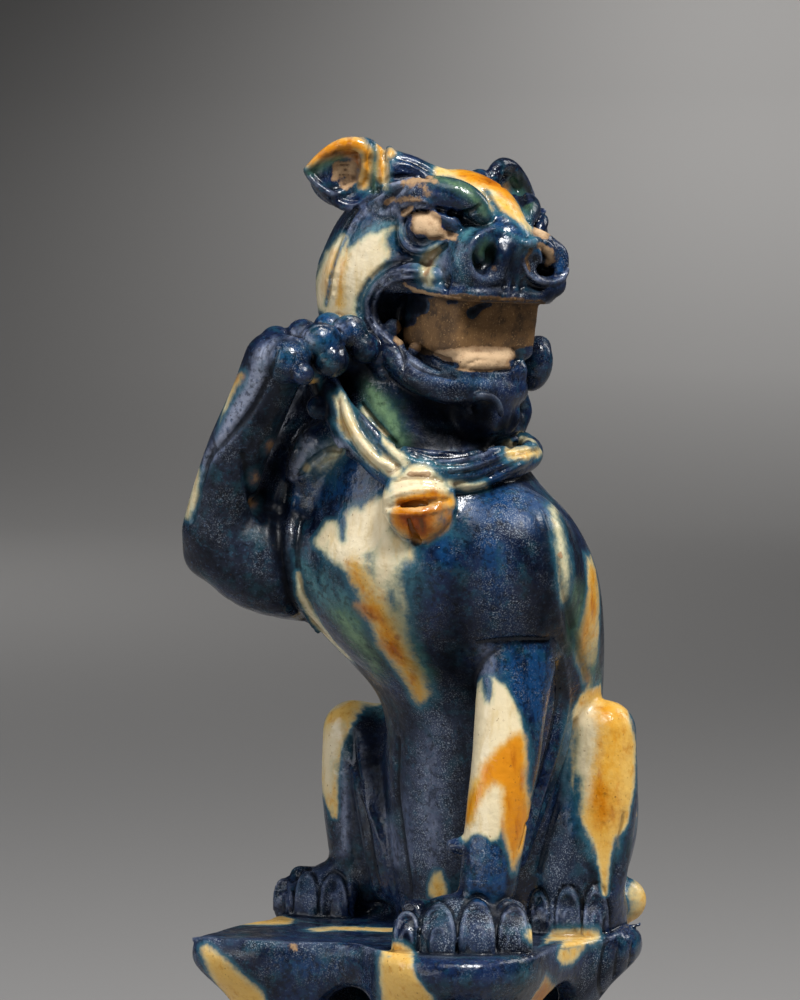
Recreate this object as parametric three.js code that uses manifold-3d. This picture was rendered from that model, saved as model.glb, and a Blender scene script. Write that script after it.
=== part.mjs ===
// A seated guardian lion of moulded earthenware with a dripping cobalt, amber and straw glaze.
// It raises its right forepaw to its cheek, turns its open-mouthed head to its left, wears a
// twisted cloth collar with a round bell, and sits on a hollow, pierced rockwork plinth.
// Figure and plinth were luted together and fired as one, so they are one solid here.
//
// Frame: millimetres, +Z up, the lion's chest faces -Y and its left side is +X. The origin is on
// the ground under the middle of the outline.
import * as THREE from "three";
import { edgeTable, triTable } from "three/addons/objects/MarchingCubes.js";
import Module from "manifold-3d";

// Driving dimensions
const PLINTH_HEIGHT = 66;
const PLINTH_SIDE = 46; // from the centre to the middle of a wall
const PLINTH_WALL = 8;
const DECK_THICKNESS = 9;
const WINDOW_WIDTH = 24;
const WINDOW_SILL = 10;
const WINDOW_TOP = 54.5;
const MIDDLE = [-1.57, 1.83]; // of the outline in plan, from the upright line that the forms use
const HEAD_PLACE = [6, 3.5, 255]; // middle of the skull
const HEAD_TURN = 70; // degrees from the chest's direction towards the lion's left
const HEAD_ROLL = -3; // degrees, left side up
const VIEW_TURN = 30; // degrees, from the chest's direction towards the lion's left
const VIEW_RISE = 4; // degrees that a viewer of the front left quarter looks down
const VIEW_REACH = 1800; // from that viewer to the lion's chest
const VIEW_STEP = 0.27; // mm to one step across or down at the chest
const COLLAR_RADIUS = 28.5;
const COLLAR_STRAND = 6.2;
const BELL_RADII = [6, 9.8, 10.6];

// How finely the clay is sampled, and how many facets are kept
const SAMPLE = 1.7;
const FACETS = 9700;

// Frames that the forms are given in
const GROUND = new THREE.Matrix4();
const LION = new THREE.Matrix4().makeTranslation(0, 0, PLINTH_HEIGHT);
const HEAD = frameAt(HEAD_PLACE, HEAD_TURN, 0, HEAD_ROLL);

// A frame whose x looks ahead, y to the left and z up, after a turn, a pitch and a roll.
function frameAt(place, turn, pitch, roll) {
  const rad = THREE.MathUtils.degToRad;
  return new THREE.Matrix4()
    .makeTranslation(...place)
    .multiply(new THREE.Matrix4().makeRotationZ(rad(turn - 90)))
    .multiply(new THREE.Matrix4().makeRotationY(-rad(pitch)))
    .multiply(new THREE.Matrix4().makeRotationX(rad(roll)));
}

// A point by where the viewer of the front left quarter sees it: steps across and down the view,
// and mm towards the viewer from the upright line through the middle of the plinth.
function seen(across, down, near) {
  const [turn, rise] = [VIEW_TURN, VIEW_RISE].map(THREE.MathUtils.degToRad);
  const right = (across - 400) * VIEW_STEP;
  const up = (500 - down) * VIEW_STEP;
  const flat = VIEW_REACH * Math.cos(rise);
  const s = (flat - near) / (flat + up * Math.sin(rise));
  const u = s * right - 4.3;
  return [
    u * Math.cos(turn) + near * Math.sin(turn),
    u * Math.sin(turn) - near * Math.cos(turn),
    PLINTH_HEIGHT + 117 + VIEW_REACH * Math.sin(rise) * (1 - s) + s * up * Math.cos(rise),
  ];
}

// The same point in the head's own frame.
function face(across, down, near) {
  const inverse = HEAD.clone().invert();
  return new THREE.Vector3(...seen(across, down, near)).applyMatrix4(inverse).toArray();
}

// A smooth value through knots [position, value, value, ...], as a cubic between neighbours.
function through(knots) {
  const slope = (i, c) => {
    const a = knots[Math.max(i - 1, 0)];
    const b = knots[Math.min(i + 1, knots.length - 1)];
    return (b[c] - a[c]) / (b[0] - a[0]);
  };
  return (t, c) => {
    let i = 0;
    while (i < knots.length - 2 && t > knots[i + 1][0]) i++;
    const [a, b] = [knots[i], knots[i + 1]];
    const span = b[0] - a[0];
    const s = THREE.MathUtils.clamp((t - a[0]) / span, 0, 1);
    const [s2, s3] = [s * s, s * s * s];
    return (
      (2 * s3 - 3 * s2 + 1) * a[c] +
      (s3 - 2 * s2 + s) * span * slope(i, c) +
      (3 * s2 - 2 * s3) * b[c] +
      (s3 - s2) * span * slope(i + 1, c)
    );
  };
}

// An ellipsoid. A turn is three degrees about x, y and z, in that order.
function ball(centre, radii, turn = [0, 0, 0]) {
  const euler = new THREE.Euler(...turn.map(THREE.MathUtils.degToRad), "ZYX");
  const e = new THREE.Matrix4().makeRotationFromEuler(euler).elements;
  const [rx, ry, rz] = radii;
  const reach = Math.max(...radii);
  return {
    low: centre.map((c) => c - reach),
    high: centre.map((c) => c + reach),
    distance(x, y, z) {
      const [dx, dy, dz] = [x - centre[0], y - centre[1], z - centre[2]];
      const a = (e[0] * dx + e[1] * dy + e[2] * dz) / rx;
      const b = (e[4] * dx + e[5] * dy + e[6] * dz) / ry;
      const c = (e[8] * dx + e[9] * dy + e[10] * dz) / rz;
      const k = Math.hypot(a, b, c);
      return (k * (k - 1)) / Math.max(Math.hypot(a / rx, b / ry, c / rz), 1e-6);
    },
  };
}

// A round tube along a smooth line through points [x, y, z, radius].
function tube(points, stepsPerSpan = 4) {
  const curve = new THREE.CatmullRomCurve3(
    points.map((p) => new THREE.Vector3(p[0], p[1], p[2])),
    false,
    "catmullrom",
  );
  const count = (points.length - 1) * stepsPerSpan;
  const line = curve.getPoints(count).map((p, i) => {
    const t = (i / count) * (points.length - 1);
    const k = Math.min(Math.floor(t), points.length - 2);
    return [p.x, p.y, p.z, THREE.MathUtils.lerp(points[k][3], points[k + 1][3], t - k)];
  });
  const bound = (c, sign, pick) => pick(...line.map((p) => p[c] + sign * p[3]));
  return {
    low: [0, 1, 2].map((c) => bound(c, -1, Math.min)),
    high: [0, 1, 2].map((c) => bound(c, 1, Math.max)),
    distance(x, y, z) {
      let best = Infinity;
      for (let i = 0; i < count; i++) {
        const [a, b] = [line[i], line[i + 1]];
        const [ux, uy, uz] = [b[0] - a[0], b[1] - a[1], b[2] - a[2]];
        const [px, py, pz] = [x - a[0], y - a[1], z - a[2]];
        const along = (px * ux + py * uy + pz * uz) / (ux * ux + uy * uy + uz * uz + 1e-9);
        const s = Math.min(Math.max(along, 0), 1);
        const gap = Math.hypot(px - s * ux, py - s * uy, pz - s * uz);
        best = Math.min(best, gap - a[3] - s * (b[3] - a[3]));
      }
      return best;
    },
  };
}

// A box with rounded edges.
function block(centre, half, round, turn = [0, 0, 0]) {
  const euler = new THREE.Euler(...turn.map(THREE.MathUtils.degToRad), "ZYX");
  const e = new THREE.Matrix4().makeRotationFromEuler(euler).elements;
  const reach = Math.hypot(...half);
  return {
    low: centre.map((c) => c - reach),
    high: centre.map((c) => c + reach),
    distance(x, y, z) {
      const [dx, dy, dz] = [x - centre[0], y - centre[1], z - centre[2]];
      const a = Math.abs(e[0] * dx + e[1] * dy + e[2] * dz) - half[0] + round;
      const b = Math.abs(e[4] * dx + e[5] * dy + e[6] * dz) - half[1] + round;
      const c = Math.abs(e[8] * dx + e[9] * dy + e[10] * dz) - half[2] + round;
      const outside = Math.hypot(Math.max(a, 0), Math.max(b, 0), Math.max(c, 0));
      return outside + Math.min(Math.max(a, b, c), 0) - round;
    },
  };
}

// A flat plate with rounded edges, spanned between a line of points and a second line beside it.
function web(spine, rim, thickness) {
  const corner = (p) => new THREE.Vector3(...p);
  const sheet = [];
  for (let i = 0; i + 1 < spine.length; i++) {
    const [a, b, c, d] = [spine[i], spine[i + 1], rim[i], rim[i + 1]].map(corner);
    sheet.push(new THREE.Triangle(a, b, c), new THREE.Triangle(b, d, c));
  }
  const points = [...spine, ...rim];
  const [point, nearest] = [new THREE.Vector3(), new THREE.Vector3()];
  return {
    low: [0, 1, 2].map((c) => Math.min(...points.map((p) => p[c])) - thickness / 2),
    high: [0, 1, 2].map((c) => Math.max(...points.map((p) => p[c])) + thickness / 2),
    distance(x, y, z) {
      point.set(x, y, z);
      const gap = (t) => t.closestPointToPoint(point, nearest).distanceTo(point);
      return Math.min(...sheet.map(gap)) - thickness / 2;
    },
  };
}

// The same form on both sides of the head.
function pair(shape) {
  const reach = Math.max(Math.abs(shape.low[1]), Math.abs(shape.high[1]));
  const side = Math.sign(shape.low[1] + shape.high[1]) || 1;
  return {
    low: [shape.low[0], -reach, shape.low[2]],
    high: [shape.high[0], reach, shape.high[2]],
    distance: (x, y, z) => shape.distance(x, side * Math.abs(y), z),
  };
}

// The clay: a grid of distances to the surface, negative inside. Each form is worked into the
// clay only near itself, with a fillet as wide as its blend.
class Clay {
  constructor(low, high, step) {
    this.low = low;
    this.step = step;
    this.size = low.map((v, c) => Math.ceil((high[c] - v) / step) + 1);
    this.values = new Float32Array(this.size[0] * this.size[1] * this.size[2]).fill(10);
  }

  change(shape, frame, blend, isCut) {
    const inverse = frame.clone().invert();
    const box = new THREE.Box3(new THREE.Vector3(...shape.low), new THREE.Vector3(...shape.high));
    box.applyMatrix4(frame).expandByScalar(blend + 3 * this.step);
    const index = (v, c) =>
      THREE.MathUtils.clamp(Math.round((v - this.low[c]) / this.step), 0, this.size[c] - 1);
    const from = box.min.toArray().map(index);
    const to = box.max.toArray().map(index);
    const e = inverse.elements;
    for (let k = from[2]; k <= to[2]; k++)
      for (let j = from[1]; j <= to[1]; j++) {
        const row = (k * this.size[1] + j) * this.size[0];
        const y = this.low[1] + j * this.step;
        const z = this.low[2] + k * this.step;
        for (let i = from[0]; i <= to[0]; i++) {
          const x = this.low[0] + i * this.step;
          const d = shape.distance(
            e[0] * x + e[4] * y + e[8] * z + e[12],
            e[1] * x + e[5] * y + e[9] * z + e[13],
            e[2] * x + e[6] * y + e[10] * z + e[14],
          );
          const old = this.values[row + i];
          const near = Math.max(blend - Math.abs(isCut ? old + d : old - d), 0);
          const fillet = (near * near) / (4 * blend);
          this.values[row + i] = isCut ? Math.max(old, -d) + fillet : Math.min(old, d) - fillet;
        }
      }
  }

  add(shape, frame = LION, blend = 2) {
    this.change(shape, frame, blend, false);
  }

  cut(shape, frame = LION, blend = 1) {
    this.change(shape, frame, blend, true);
  }

  // The surface where the distance is zero, by marching cubes with shared vertices.
  surface() {
    const [nx, ny, nz] = this.size;
    const corners = [
      [0, 0, 0], [1, 0, 0], [1, 1, 0], [0, 1, 0], [0, 0, 1], [1, 0, 1], [1, 1, 1], [0, 1, 1],
    ];
    const edges = [
      [0, 1], [1, 2], [2, 3], [3, 0], [4, 5], [5, 6], [6, 7], [7, 4], [0, 4], [1, 5], [2, 6], [3, 7],
    ];
    const offsets = corners.map(([i, j, k]) => (k * ny + j) * nx + i);
    const made = new Map();
    const points = [];
    const triangles = [];
    const vertex = (cell, i, j, k, edge) => {
      let [a, b] = edges[edge];
      if (offsets[a] > offsets[b]) [a, b] = [b, a];
      const axis = [0, 1, 2].find((c) => corners[a][c] !== corners[b][c]);
      const key = (cell + offsets[a]) * 3 + axis;
      if (!made.has(key)) {
        const [va, vb] = [this.values[cell + offsets[a]], this.values[cell + offsets[b]]];
        const s = THREE.MathUtils.clamp(va / (va - vb), 0.02, 0.98);
        const at = [i, j, k].map((v, c) => v + corners[a][c] + (c === axis ? s : 0));
        made.set(key, points.length / 3);
        points.push(...at.map((v, c) => this.low[c] + v * this.step));
      }
      return made.get(key);
    };
    for (let k = 0; k < nz - 1; k++)
      for (let j = 0; j < ny - 1; j++)
        for (let i = 0; i < nx - 1; i++) {
          const cell = (k * ny + j) * nx + i;
          let kind = 0;
          for (let c = 0; c < 8; c++) if (this.values[cell + offsets[c]] > 0) kind |= 1 << c;
          if (!edgeTable[kind]) continue;
          for (let t = kind * 16; triTable[t] !== -1; t++)
            triangles.push(vertex(cell, i, j, k, triTable[t]));
        }
    return { points, triangles };
  }
}

// The largest connected shell of a surface, without the small voids that forms seal between them.
function outerShell({ points, triangles }) {
  const parent = Array.from({ length: points.length / 3 }, (_, i) => i);
  const find = (v) => {
    while (parent[v] !== v) v = parent[v] = parent[parent[v]];
    return v;
  };
  for (let t = 0; t < triangles.length; t += 3) {
    parent[find(triangles[t])] = find(triangles[t + 2]);
    parent[find(triangles[t + 1])] = find(triangles[t + 2]);
  }
  const sizes = new Map();
  for (const v of triangles) sizes.set(find(v), (sizes.get(find(v)) ?? 0) + 1);
  const largest = [...sizes].reduce((a, b) => (b[1] > a[1] ? b : a))[0];
  return { points, triangles: triangles.filter((v) => find(v) === largest) };
}

// Fewer facets on the same surface: edges are collapsed in the order of the squared distance that
// it costs to the planes around them, and only where the surface stays closed and unfolded.
function simplify({ points, triangles }, facets) {
  const count = points.length / 3;
  const quadric = Array.from({ length: count }, () => new Float64Array(10));
  const faces = [];
  const around = Array.from({ length: count }, () => new Set());
  const normal = (a, b, c) => {
    const [ux, uy, uz] = [b[0] - a[0], b[1] - a[1], b[2] - a[2]];
    const [vx, vy, vz] = [c[0] - a[0], c[1] - a[1], c[2] - a[2]];
    return [uy * vz - uz * vy, uz * vx - ux * vz, ux * vy - uy * vx];
  };
  const place = Array.from({ length: count }, (_, i) => points.slice(3 * i, 3 * i + 3));
  for (let t = 0; t < triangles.length; t += 3) {
    const face = [triangles[t], triangles[t + 1], triangles[t + 2]];
    const n = normal(...face.map((v) => place[v]));
    const size = Math.hypot(...n) || 1e-12;
    const [a, b, c] = n.map((v) => v / size);
    const d = -(a * place[face[0]][0] + b * place[face[0]][1] + c * place[face[0]][2]);
    const plane = [a * a, a * b, a * c, a * d, b * b, b * c, b * d, c * c, c * d, d * d];
    for (const v of face) {
      around[v].add(faces.length);
      plane.forEach((value, i) => (quadric[v][i] += value * size));
    }
    faces.push(face);
  }
  const cost = (q, [x, y, z]) =>
    q[0] * x * x + 2 * q[1] * x * y + 2 * q[2] * x * z + 2 * q[3] * x + q[4] * y * y +
    2 * q[5] * y * z + 2 * q[6] * y + q[7] * z * z + 2 * q[8] * z + q[9];
  const bestPlace = (q, a, b) => {
    const matrix = new THREE.Matrix3().set(q[0], q[1], q[2], q[1], q[4], q[5], q[2], q[5], q[7]);
    const middle = a.map((v, i) => (v + b[i]) / 2);
    const span = Math.hypot(...a.map((v, i) => v - b[i]));
    const choices = [middle, a, b];
    if (Math.abs(matrix.determinant()) > 1e-3) {
      const p = new THREE.Vector3(-q[3], -q[6], -q[8]).applyMatrix3(matrix.invert()).toArray();
      if (Math.hypot(...p.map((v, i) => v - middle[i])) < 2 * span) choices.unshift(p);
    }
    return choices.reduce((x, y) => (cost(q, y) < cost(q, x) - 1e-12 ? y : x));
  };
  const heap = [];
  const push = (item) => {
    let i = heap.push(item) - 1;
    while (i > 0) {
      const up = (i - 1) >> 1;
      if (heap[up].cost <= item.cost) break;
      heap[i] = heap[up];
      i = up;
    }
    heap[i] = item;
  };
  const pop = () => {
    const [top, last] = [heap[0], heap.pop()];
    let i = 0;
    while (heap.length) {
      let next = 2 * i + 1;
      if (next >= heap.length) break;
      if (next + 1 < heap.length && heap[next + 1].cost < heap[next].cost) next++;
      if (heap[next].cost >= last.cost) break;
      heap[i] = heap[next];
      i = next;
    }
    if (heap.length) heap[i] = last;
    return top;
  };
  const version = new Uint32Array(count);
  const neighbours = (v) => {
    const found = new Set();
    for (const f of around[v]) for (const other of faces[f]) if (other !== v) found.add(other);
    return found;
  };
  const offer = (a, b) => {
    const q = quadric[a].map((v, i) => v + quadric[b][i]);
    const target = bestPlace(q, place[a], place[b]);
    push({ a, b, target, cost: cost(q, target), stamp: version[a] + version[b] });
  };
  const folds = (v, other, target) => {
    for (const f of around[v]) {
      const face = faces[f];
      if (face.includes(other)) continue;
      const before = normal(...face.map((i) => place[i]));
      const after = normal(...face.map((i) => (i === v ? target : place[i])));
      const dot = before.reduce((sum, value, i) => sum + value * after[i], 0);
      if (dot <= 0.25 * Math.hypot(...before) * Math.hypot(...after)) return true;
    }
    return false;
  };
  for (const face of faces)
    face.forEach((a, i) => a < face[(i + 1) % 3] && offer(a, face[(i + 1) % 3]));
  let left = faces.length;
  while (left > facets && heap.length) {
    const { a, b, target, stamp } = pop();
    if (!around[a].size || !around[b].size || stamp !== version[a] + version[b]) continue;
    const near = neighbours(a);
    if (!near.has(b)) continue;
    const shared = [...neighbours(b)].filter((v) => near.has(v));
    if (shared.length !== 2 || folds(a, b, target) || folds(b, a, target)) continue;
    for (const f of [...around[b]]) {
      if (faces[f].includes(a)) {
        for (const v of faces[f]) around[v].delete(f);
        left--;
      } else {
        faces[f][faces[f].indexOf(b)] = a;
        around[a].add(f);
      }
    }
    around[b].clear();
    place[a] = target;
    quadric[b].forEach((v, i) => (quadric[a][i] += v));
    version[a] += 1;
    version[b] += 1;
    for (const v of neighbours(a)) offer(a, v);
  }
  const kept = new Set(around.flatMap((set) => [...set]));
  return { place, faces: [...kept].map((f) => faces[f]) };
}

// Plinth: an uneven deck with four corner lobes, walls that pinch under the lobes and flare to the
// foot, a hollow open below, and an arched window through the middle of each side.
// Deck outline as [angle from the lion's left, radius].
const DECK_OUTLINE = [
  [-180, 48],
  [-150, 55],
  [-137, 61],
  [-122, 52],
  [-104, 38],
  [-84, 38],
  [-72, 47],
  [-56, 59],
  [-44, 61.5],
  [-30, 58],
  [-14, 50],
  [8, 49],
  [30, 60],
  [42, 61],
  [60, 52],
  [88, 44],
  [115, 50],
  [135, 60],
  [152, 56],
  [180, 48],
];
const deckRadius = through(DECK_OUTLINE);
const sideWaist = through([[0, 1.02], [8, 1.0], [26, 0.9], [42, 0.9], [50, 0.94], [59, 1], [66, 1]]);
const lobeWaist = through([[0, 0.7], [8, 0.62], [26, 0.34], [42, 0.4], [50, 0.62], [59, 1], [66, 1]]);
function plinthRadius(x, y, z) {
  const deck = deckRadius(THREE.MathUtils.radToDeg(Math.atan2(y, x)), 1);
  const side = Math.min(deck, PLINTH_SIDE);
  return side * sideWaist(z, 1) + (deck - side) * lobeWaist(z, 1);
}

const plinth = {
  low: [-64, -64, -3],
  high: [64, 64, PLINTH_HEIGHT],
  distance(x, y, z) {
    const side = 0.85 * (Math.hypot(x, y) - plinthRadius(x, y, z));
    return soften(side, Math.abs(z - PLINTH_HEIGHT / 2 + 1.5) - PLINTH_HEIGHT / 2 - 1.5, 3);
  },
};
const hollow = {
  low: [-60, -60, -20],
  high: [60, 60, PLINTH_HEIGHT - DECK_THICKNESS],
  distance(x, y, z) {
    const side = 0.85 * (Math.hypot(x, y) - plinthRadius(x, y, z) + PLINTH_WALL);
    return soften(side, z - PLINTH_HEIGHT + DECK_THICKNESS, 8);
  },
};
function window(axis) {
  const half = WINDOW_WIDTH / 2;
  const spring = WINDOW_TOP - half;
  return {
    low: axis ? [-half, -64, WINDOW_SILL] : [-64, -half, WINDOW_SILL],
    high: axis ? [half, 64, WINDOW_TOP] : [64, half, WINDOW_TOP],
    distance(x, y, z) {
      const across = Math.abs(axis ? x : y);
      const arch = Math.hypot(across, Math.max(z - spring, 0)) - half;
      return soften(arch, WINDOW_SILL - z, 12);
    },
  };
}

// The larger of two distances, with a rounded edge.
function soften(a, b, blend) {
  const near = Math.max(blend - Math.abs(a - b), 0);
  return Math.max(a, b) + (near * near) / (4 * blend);
}

// Trunk and neck: stacked ovals, as [height, middle x, middle y, half width, half depth].
const TRUNK = [
  [-6, 8, 25, 24, 22],
  [15, 8, 25, 27, 25],
  [40, 9, 25, 29, 27],
  [62, 10.5, 22.5, 31, 29],
  [84, 6, 12, 40.5, 37],
  [100, 4.5, 7, 42, 37.5],
  [112, 4.5, 4.5, 37, 33],
  [122, 3, 3, 29, 29],
  [135, -1, 3, 23.5, 24.5],
  [150, -4, 4, 21.5, 22.5],
  [165, -4.5, 4.5, 24.5, 24.5],
  [182, -4, 4.5, 25, 24.5],
  [200, 1, 4, 17, 17],
];
const trunkAt = through(TRUNK);
const trunk = {
  low: [-38, -32, -6],
  high: [47, 53, 196],
  distance(x, y, z) {
    const h = THREE.MathUtils.clamp(z, -6, 196);
    const [rx, ry] = [trunkAt(h, 3), trunkAt(h, 4)];
    const [a, b] = [(x - trunkAt(h, 1)) / rx, (y - trunkAt(h, 2)) / ry];
    const k = Math.hypot(a, b);
    const side = (k * (k - 1)) / Math.max(Math.hypot(a / rx, b / ry), 1e-6);
    return soften(side * 0.9, Math.max(z - 194, -6 - z), 6);
  },
};

// Collar: a loop of cloth, a broad strap on the lion's right and three twisted strands on its left.
// Its height above the deck by the angle round the neck, as the viewer of the front left sees it.
const collarHeight = through([
  [-180, 151],
  [-135, 150],
  [-90, 147],
  [-45, 142],
  [0, 135],
  [20, 132],
  [45, 129],
  [65, 127],
  [90, 126.5],
  [110, 129],
  [135, 137],
  [150, 144],
  [165, 149],
  [180, 151],
]);
const collar = {
  low: [-36, -38, 110],
  high: [42, 40, 166],
  distance(x, y, z) {
    const [dx, dy] = [x - 2.5, y - 1];
    const angle = Math.atan2(0.5 * dx - 0.866 * dy, 0.866 * dx + 0.5 * dy);
    const turn = THREE.MathUtils.radToDeg(angle);
    const strap = THREE.MathUtils.smoothstep(turn, 80, 125);
    const out = Math.hypot(dx, dy) - COLLAR_RADIUS;
    const slope = (collarHeight(turn + 4, 1) - collarHeight(turn - 4, 1)) / 8;
    const up = (z - collarHeight(turn, 1)) / Math.hypot(1, (slope * 57.3) / COLLAR_RADIUS);
    const around = Math.atan2(up, out);
    const strands = Math.abs(Math.cos(1.5 * (around + 3 * angle)));
    const thin = 1.2 + 0.7 * strap;
    return 0.85 * (Math.hypot(out * thin, up) - COLLAR_STRAND * (0.78 + 0.22 * strands));
  },
};

function sculptPlinth(clay) {
  clay.add(plinth, GROUND, 1);
  clay.cut(hollow, GROUND, 3);
  clay.cut(window(0), GROUND, 3);
  clay.cut(window(1), GROUND, 3);
}

function sculptBody(clay) {
  clay.add(trunk, LION, 3);
  // Haunches, knees and shins
  clay.add(ball([27, 34, 26], [18, 19, 29]), LION, 8);
  clay.add(ball([-19, 34, 26], [18, 19, 29]), LION, 8);
  clay.add(tube([[43.5, 27, 54, 8.5], [43, 25, 34, 10.2], [39.5, 22, 12, 11.3]]), LION, 3);
  clay.add(tube([[-36, 28, 50, 8.5], [-35, 27, 32, 9], [-31, 26, 10, 9]]), LION, 3);
  clay.add(ball([33, 37, 34], [12, 14, 24], [0, 0, -20]), LION, 6);
  clay.add(ball([-27, 36, 34], [12, 15, 24], [0, 0, 20]), LION, 6);
  // Left foreleg: upper arm, shin and the flame of fur behind it
  clay.add(tube([seenWith(508, 550, 19, 17), seenWith(516, 575, 20, 16), seenWith(520, 602, 20, 13)]), GROUND, 4);
  clay.add(
    tube([
      seenWith(523, 622, 16, 11.5),
      seenWith(510, 700, 22, 10),
      seenWith(504, 760, 26, 9.5),
      seenWith(496, 810, 29, 8.8),
      seenWith(487, 880, 31, 8),
    ]),
    GROUND,
    1,
  );
  clay.add(
    web(
      [seen(534, 650, 14), seen(536, 700, 16), seen(522, 760, 19), seen(510, 810, 21), seen(502, 870, 23)],
      [seen(570, 660, 4), seen(575, 696, 4), seen(562, 750, 7), seen(543, 800, 10), seen(520, 862, 16)],
      3.4,
    ),
    GROUND,
    2,
  );
  clay.add(tube([seenWith(466, 846, 30, 3), seenWith(453, 846, 30, 2)]), GROUND, 1);
  // Tail laid round the left haunch
  clay.add(tube([[4, 45, 18, 5], [15, 46.5, 8, 4.5], [27, 46.5, 4.5, 4.5], [40.5, 43.5, 6, 6.3]]), LION, 2);
}

// A point seen from the front left quarter, with the radius of the clay there.
function seenWith(across, down, near, radius) {
  return [...seen(across, down, near), radius];
}

// The raised right foreleg: upper arm, elbow, forearm with a fin of fur, and the shoulder lock.
function sculptArm(clay) {
  const add = (shape, blend) => clay.add(shape, GROUND, blend);
  add(tube([seenWith(322, 560, -7, 17.5), seenWith(265, 557, -4, 15), seenWith(222, 541, -1, 10.5)]), 3);
  add(ball(seen(207, 556, -1), [5.5, 5.5, 5.5]), 3);
  add(ball(seen(290, 478, -9), [10, 10, 28], [0, 12, 0]), 5);
  add(ball(seen(318, 470, -6), [12, 12, 20]), 5);
  add(
    tube([
      seenWith(216, 528, 2, 9),
      seenWith(222, 500, 4, 8.5),
      seenWith(238, 450, 9, 8.3),
      seenWith(260, 400, 14, 8.2),
      seenWith(275, 362, 18, 8.4),
    ]),
    2,
  );
  add(
    web(
      [seen(224, 500, 0), seen(238, 450, 5), seen(255, 400, 10)],
      [seen(196, 505, -3), seen(211, 450, 1), seen(236, 392, 7)],
      2.2,
    ),
    1.5,
  );
  add(tube([seenWith(336, 430, 6, 5), seenWith(318, 445, 5, 5.5), seenWith(303, 462, 4, 3.6), seenWith(294, 476, 2, 2)]), 2);
  add(ball(seen(319, 407, 15), [3.4, 3.4, 3.4]), 1);
}

// A standing paw: a low pad with four tall toes that fan out from the ankle.
function standingPaw(clay, [x, y], turn, width) {
  const frame = frameAt([x, y, PLINTH_HEIGHT], turn, 0, 0);
  clay.add(ball([-3, 0, 5], [13, width * 0.44, 9]), frame, 4);
  for (let i = 0; i < 4; i++) {
    const spread = (i - 1.5) / 1.5;
    const side = spread * width * 0.39;
    const ahead = 12 - 3.5 * spread * spread;
    const radius = width * 0.135;
    clay.add(
      tube([
        [-2, side * 0.8, 9.5, radius],
        [ahead * 0.55, side, 8.6, radius],
        [ahead, side * 1.04, 4.4, radius * 0.95],
        [ahead, side * 1.04, 0, radius * 0.95],
      ]),
      frame,
      1,
    );
  }
}

function sculptPaws(clay) {
  standingPaw(clay, [27.5, -22.5], 27, 35);
  standingPaw(clay, [37, 24], -8, 25);
  standingPaw(clay, [-40, 24], -8, 25);
  // Raised paw: the back of the hand and four curled toes, from the nearest to the cheek
  clay.add(ball(seen(288, 347, 12), [9, 8, 7], [0, -20, 20]), GROUND, 3);
  clay.add(ball(seen(335, 345, 10), [12, 8, 7], [0, 0, 20]), GROUND, 3);
  const toes = [
    [seenWith(274, 347, 18, 5.2), seenWith(289, 363, 26, 6), seenWith(302, 374, 29, 2.6)],
    [seenWith(301, 335, 17, 5), seenWith(319, 342, 25, 5.3), seenWith(330, 360, 25, 4.6)],
    [seenWith(328, 326, 14, 4.4), seenWith(352, 333, 21, 4.2), seenWith(363, 351, 20, 3.4)],
    [seenWith(355, 336, 12, 4), seenWith(377, 344, 16, 3.8), seenWith(384, 360, 15, 3.2)],
  ];
  for (const [knuckle, pad, tip] of toes) {
    clay.add(tube([knuckle, pad], 1), GROUND, 0.8);
    clay.add(ball(tip.slice(0, 3), [tip[3], tip[3], tip[3] * 1.1]), GROUND, 0.6);
  }
}

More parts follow.
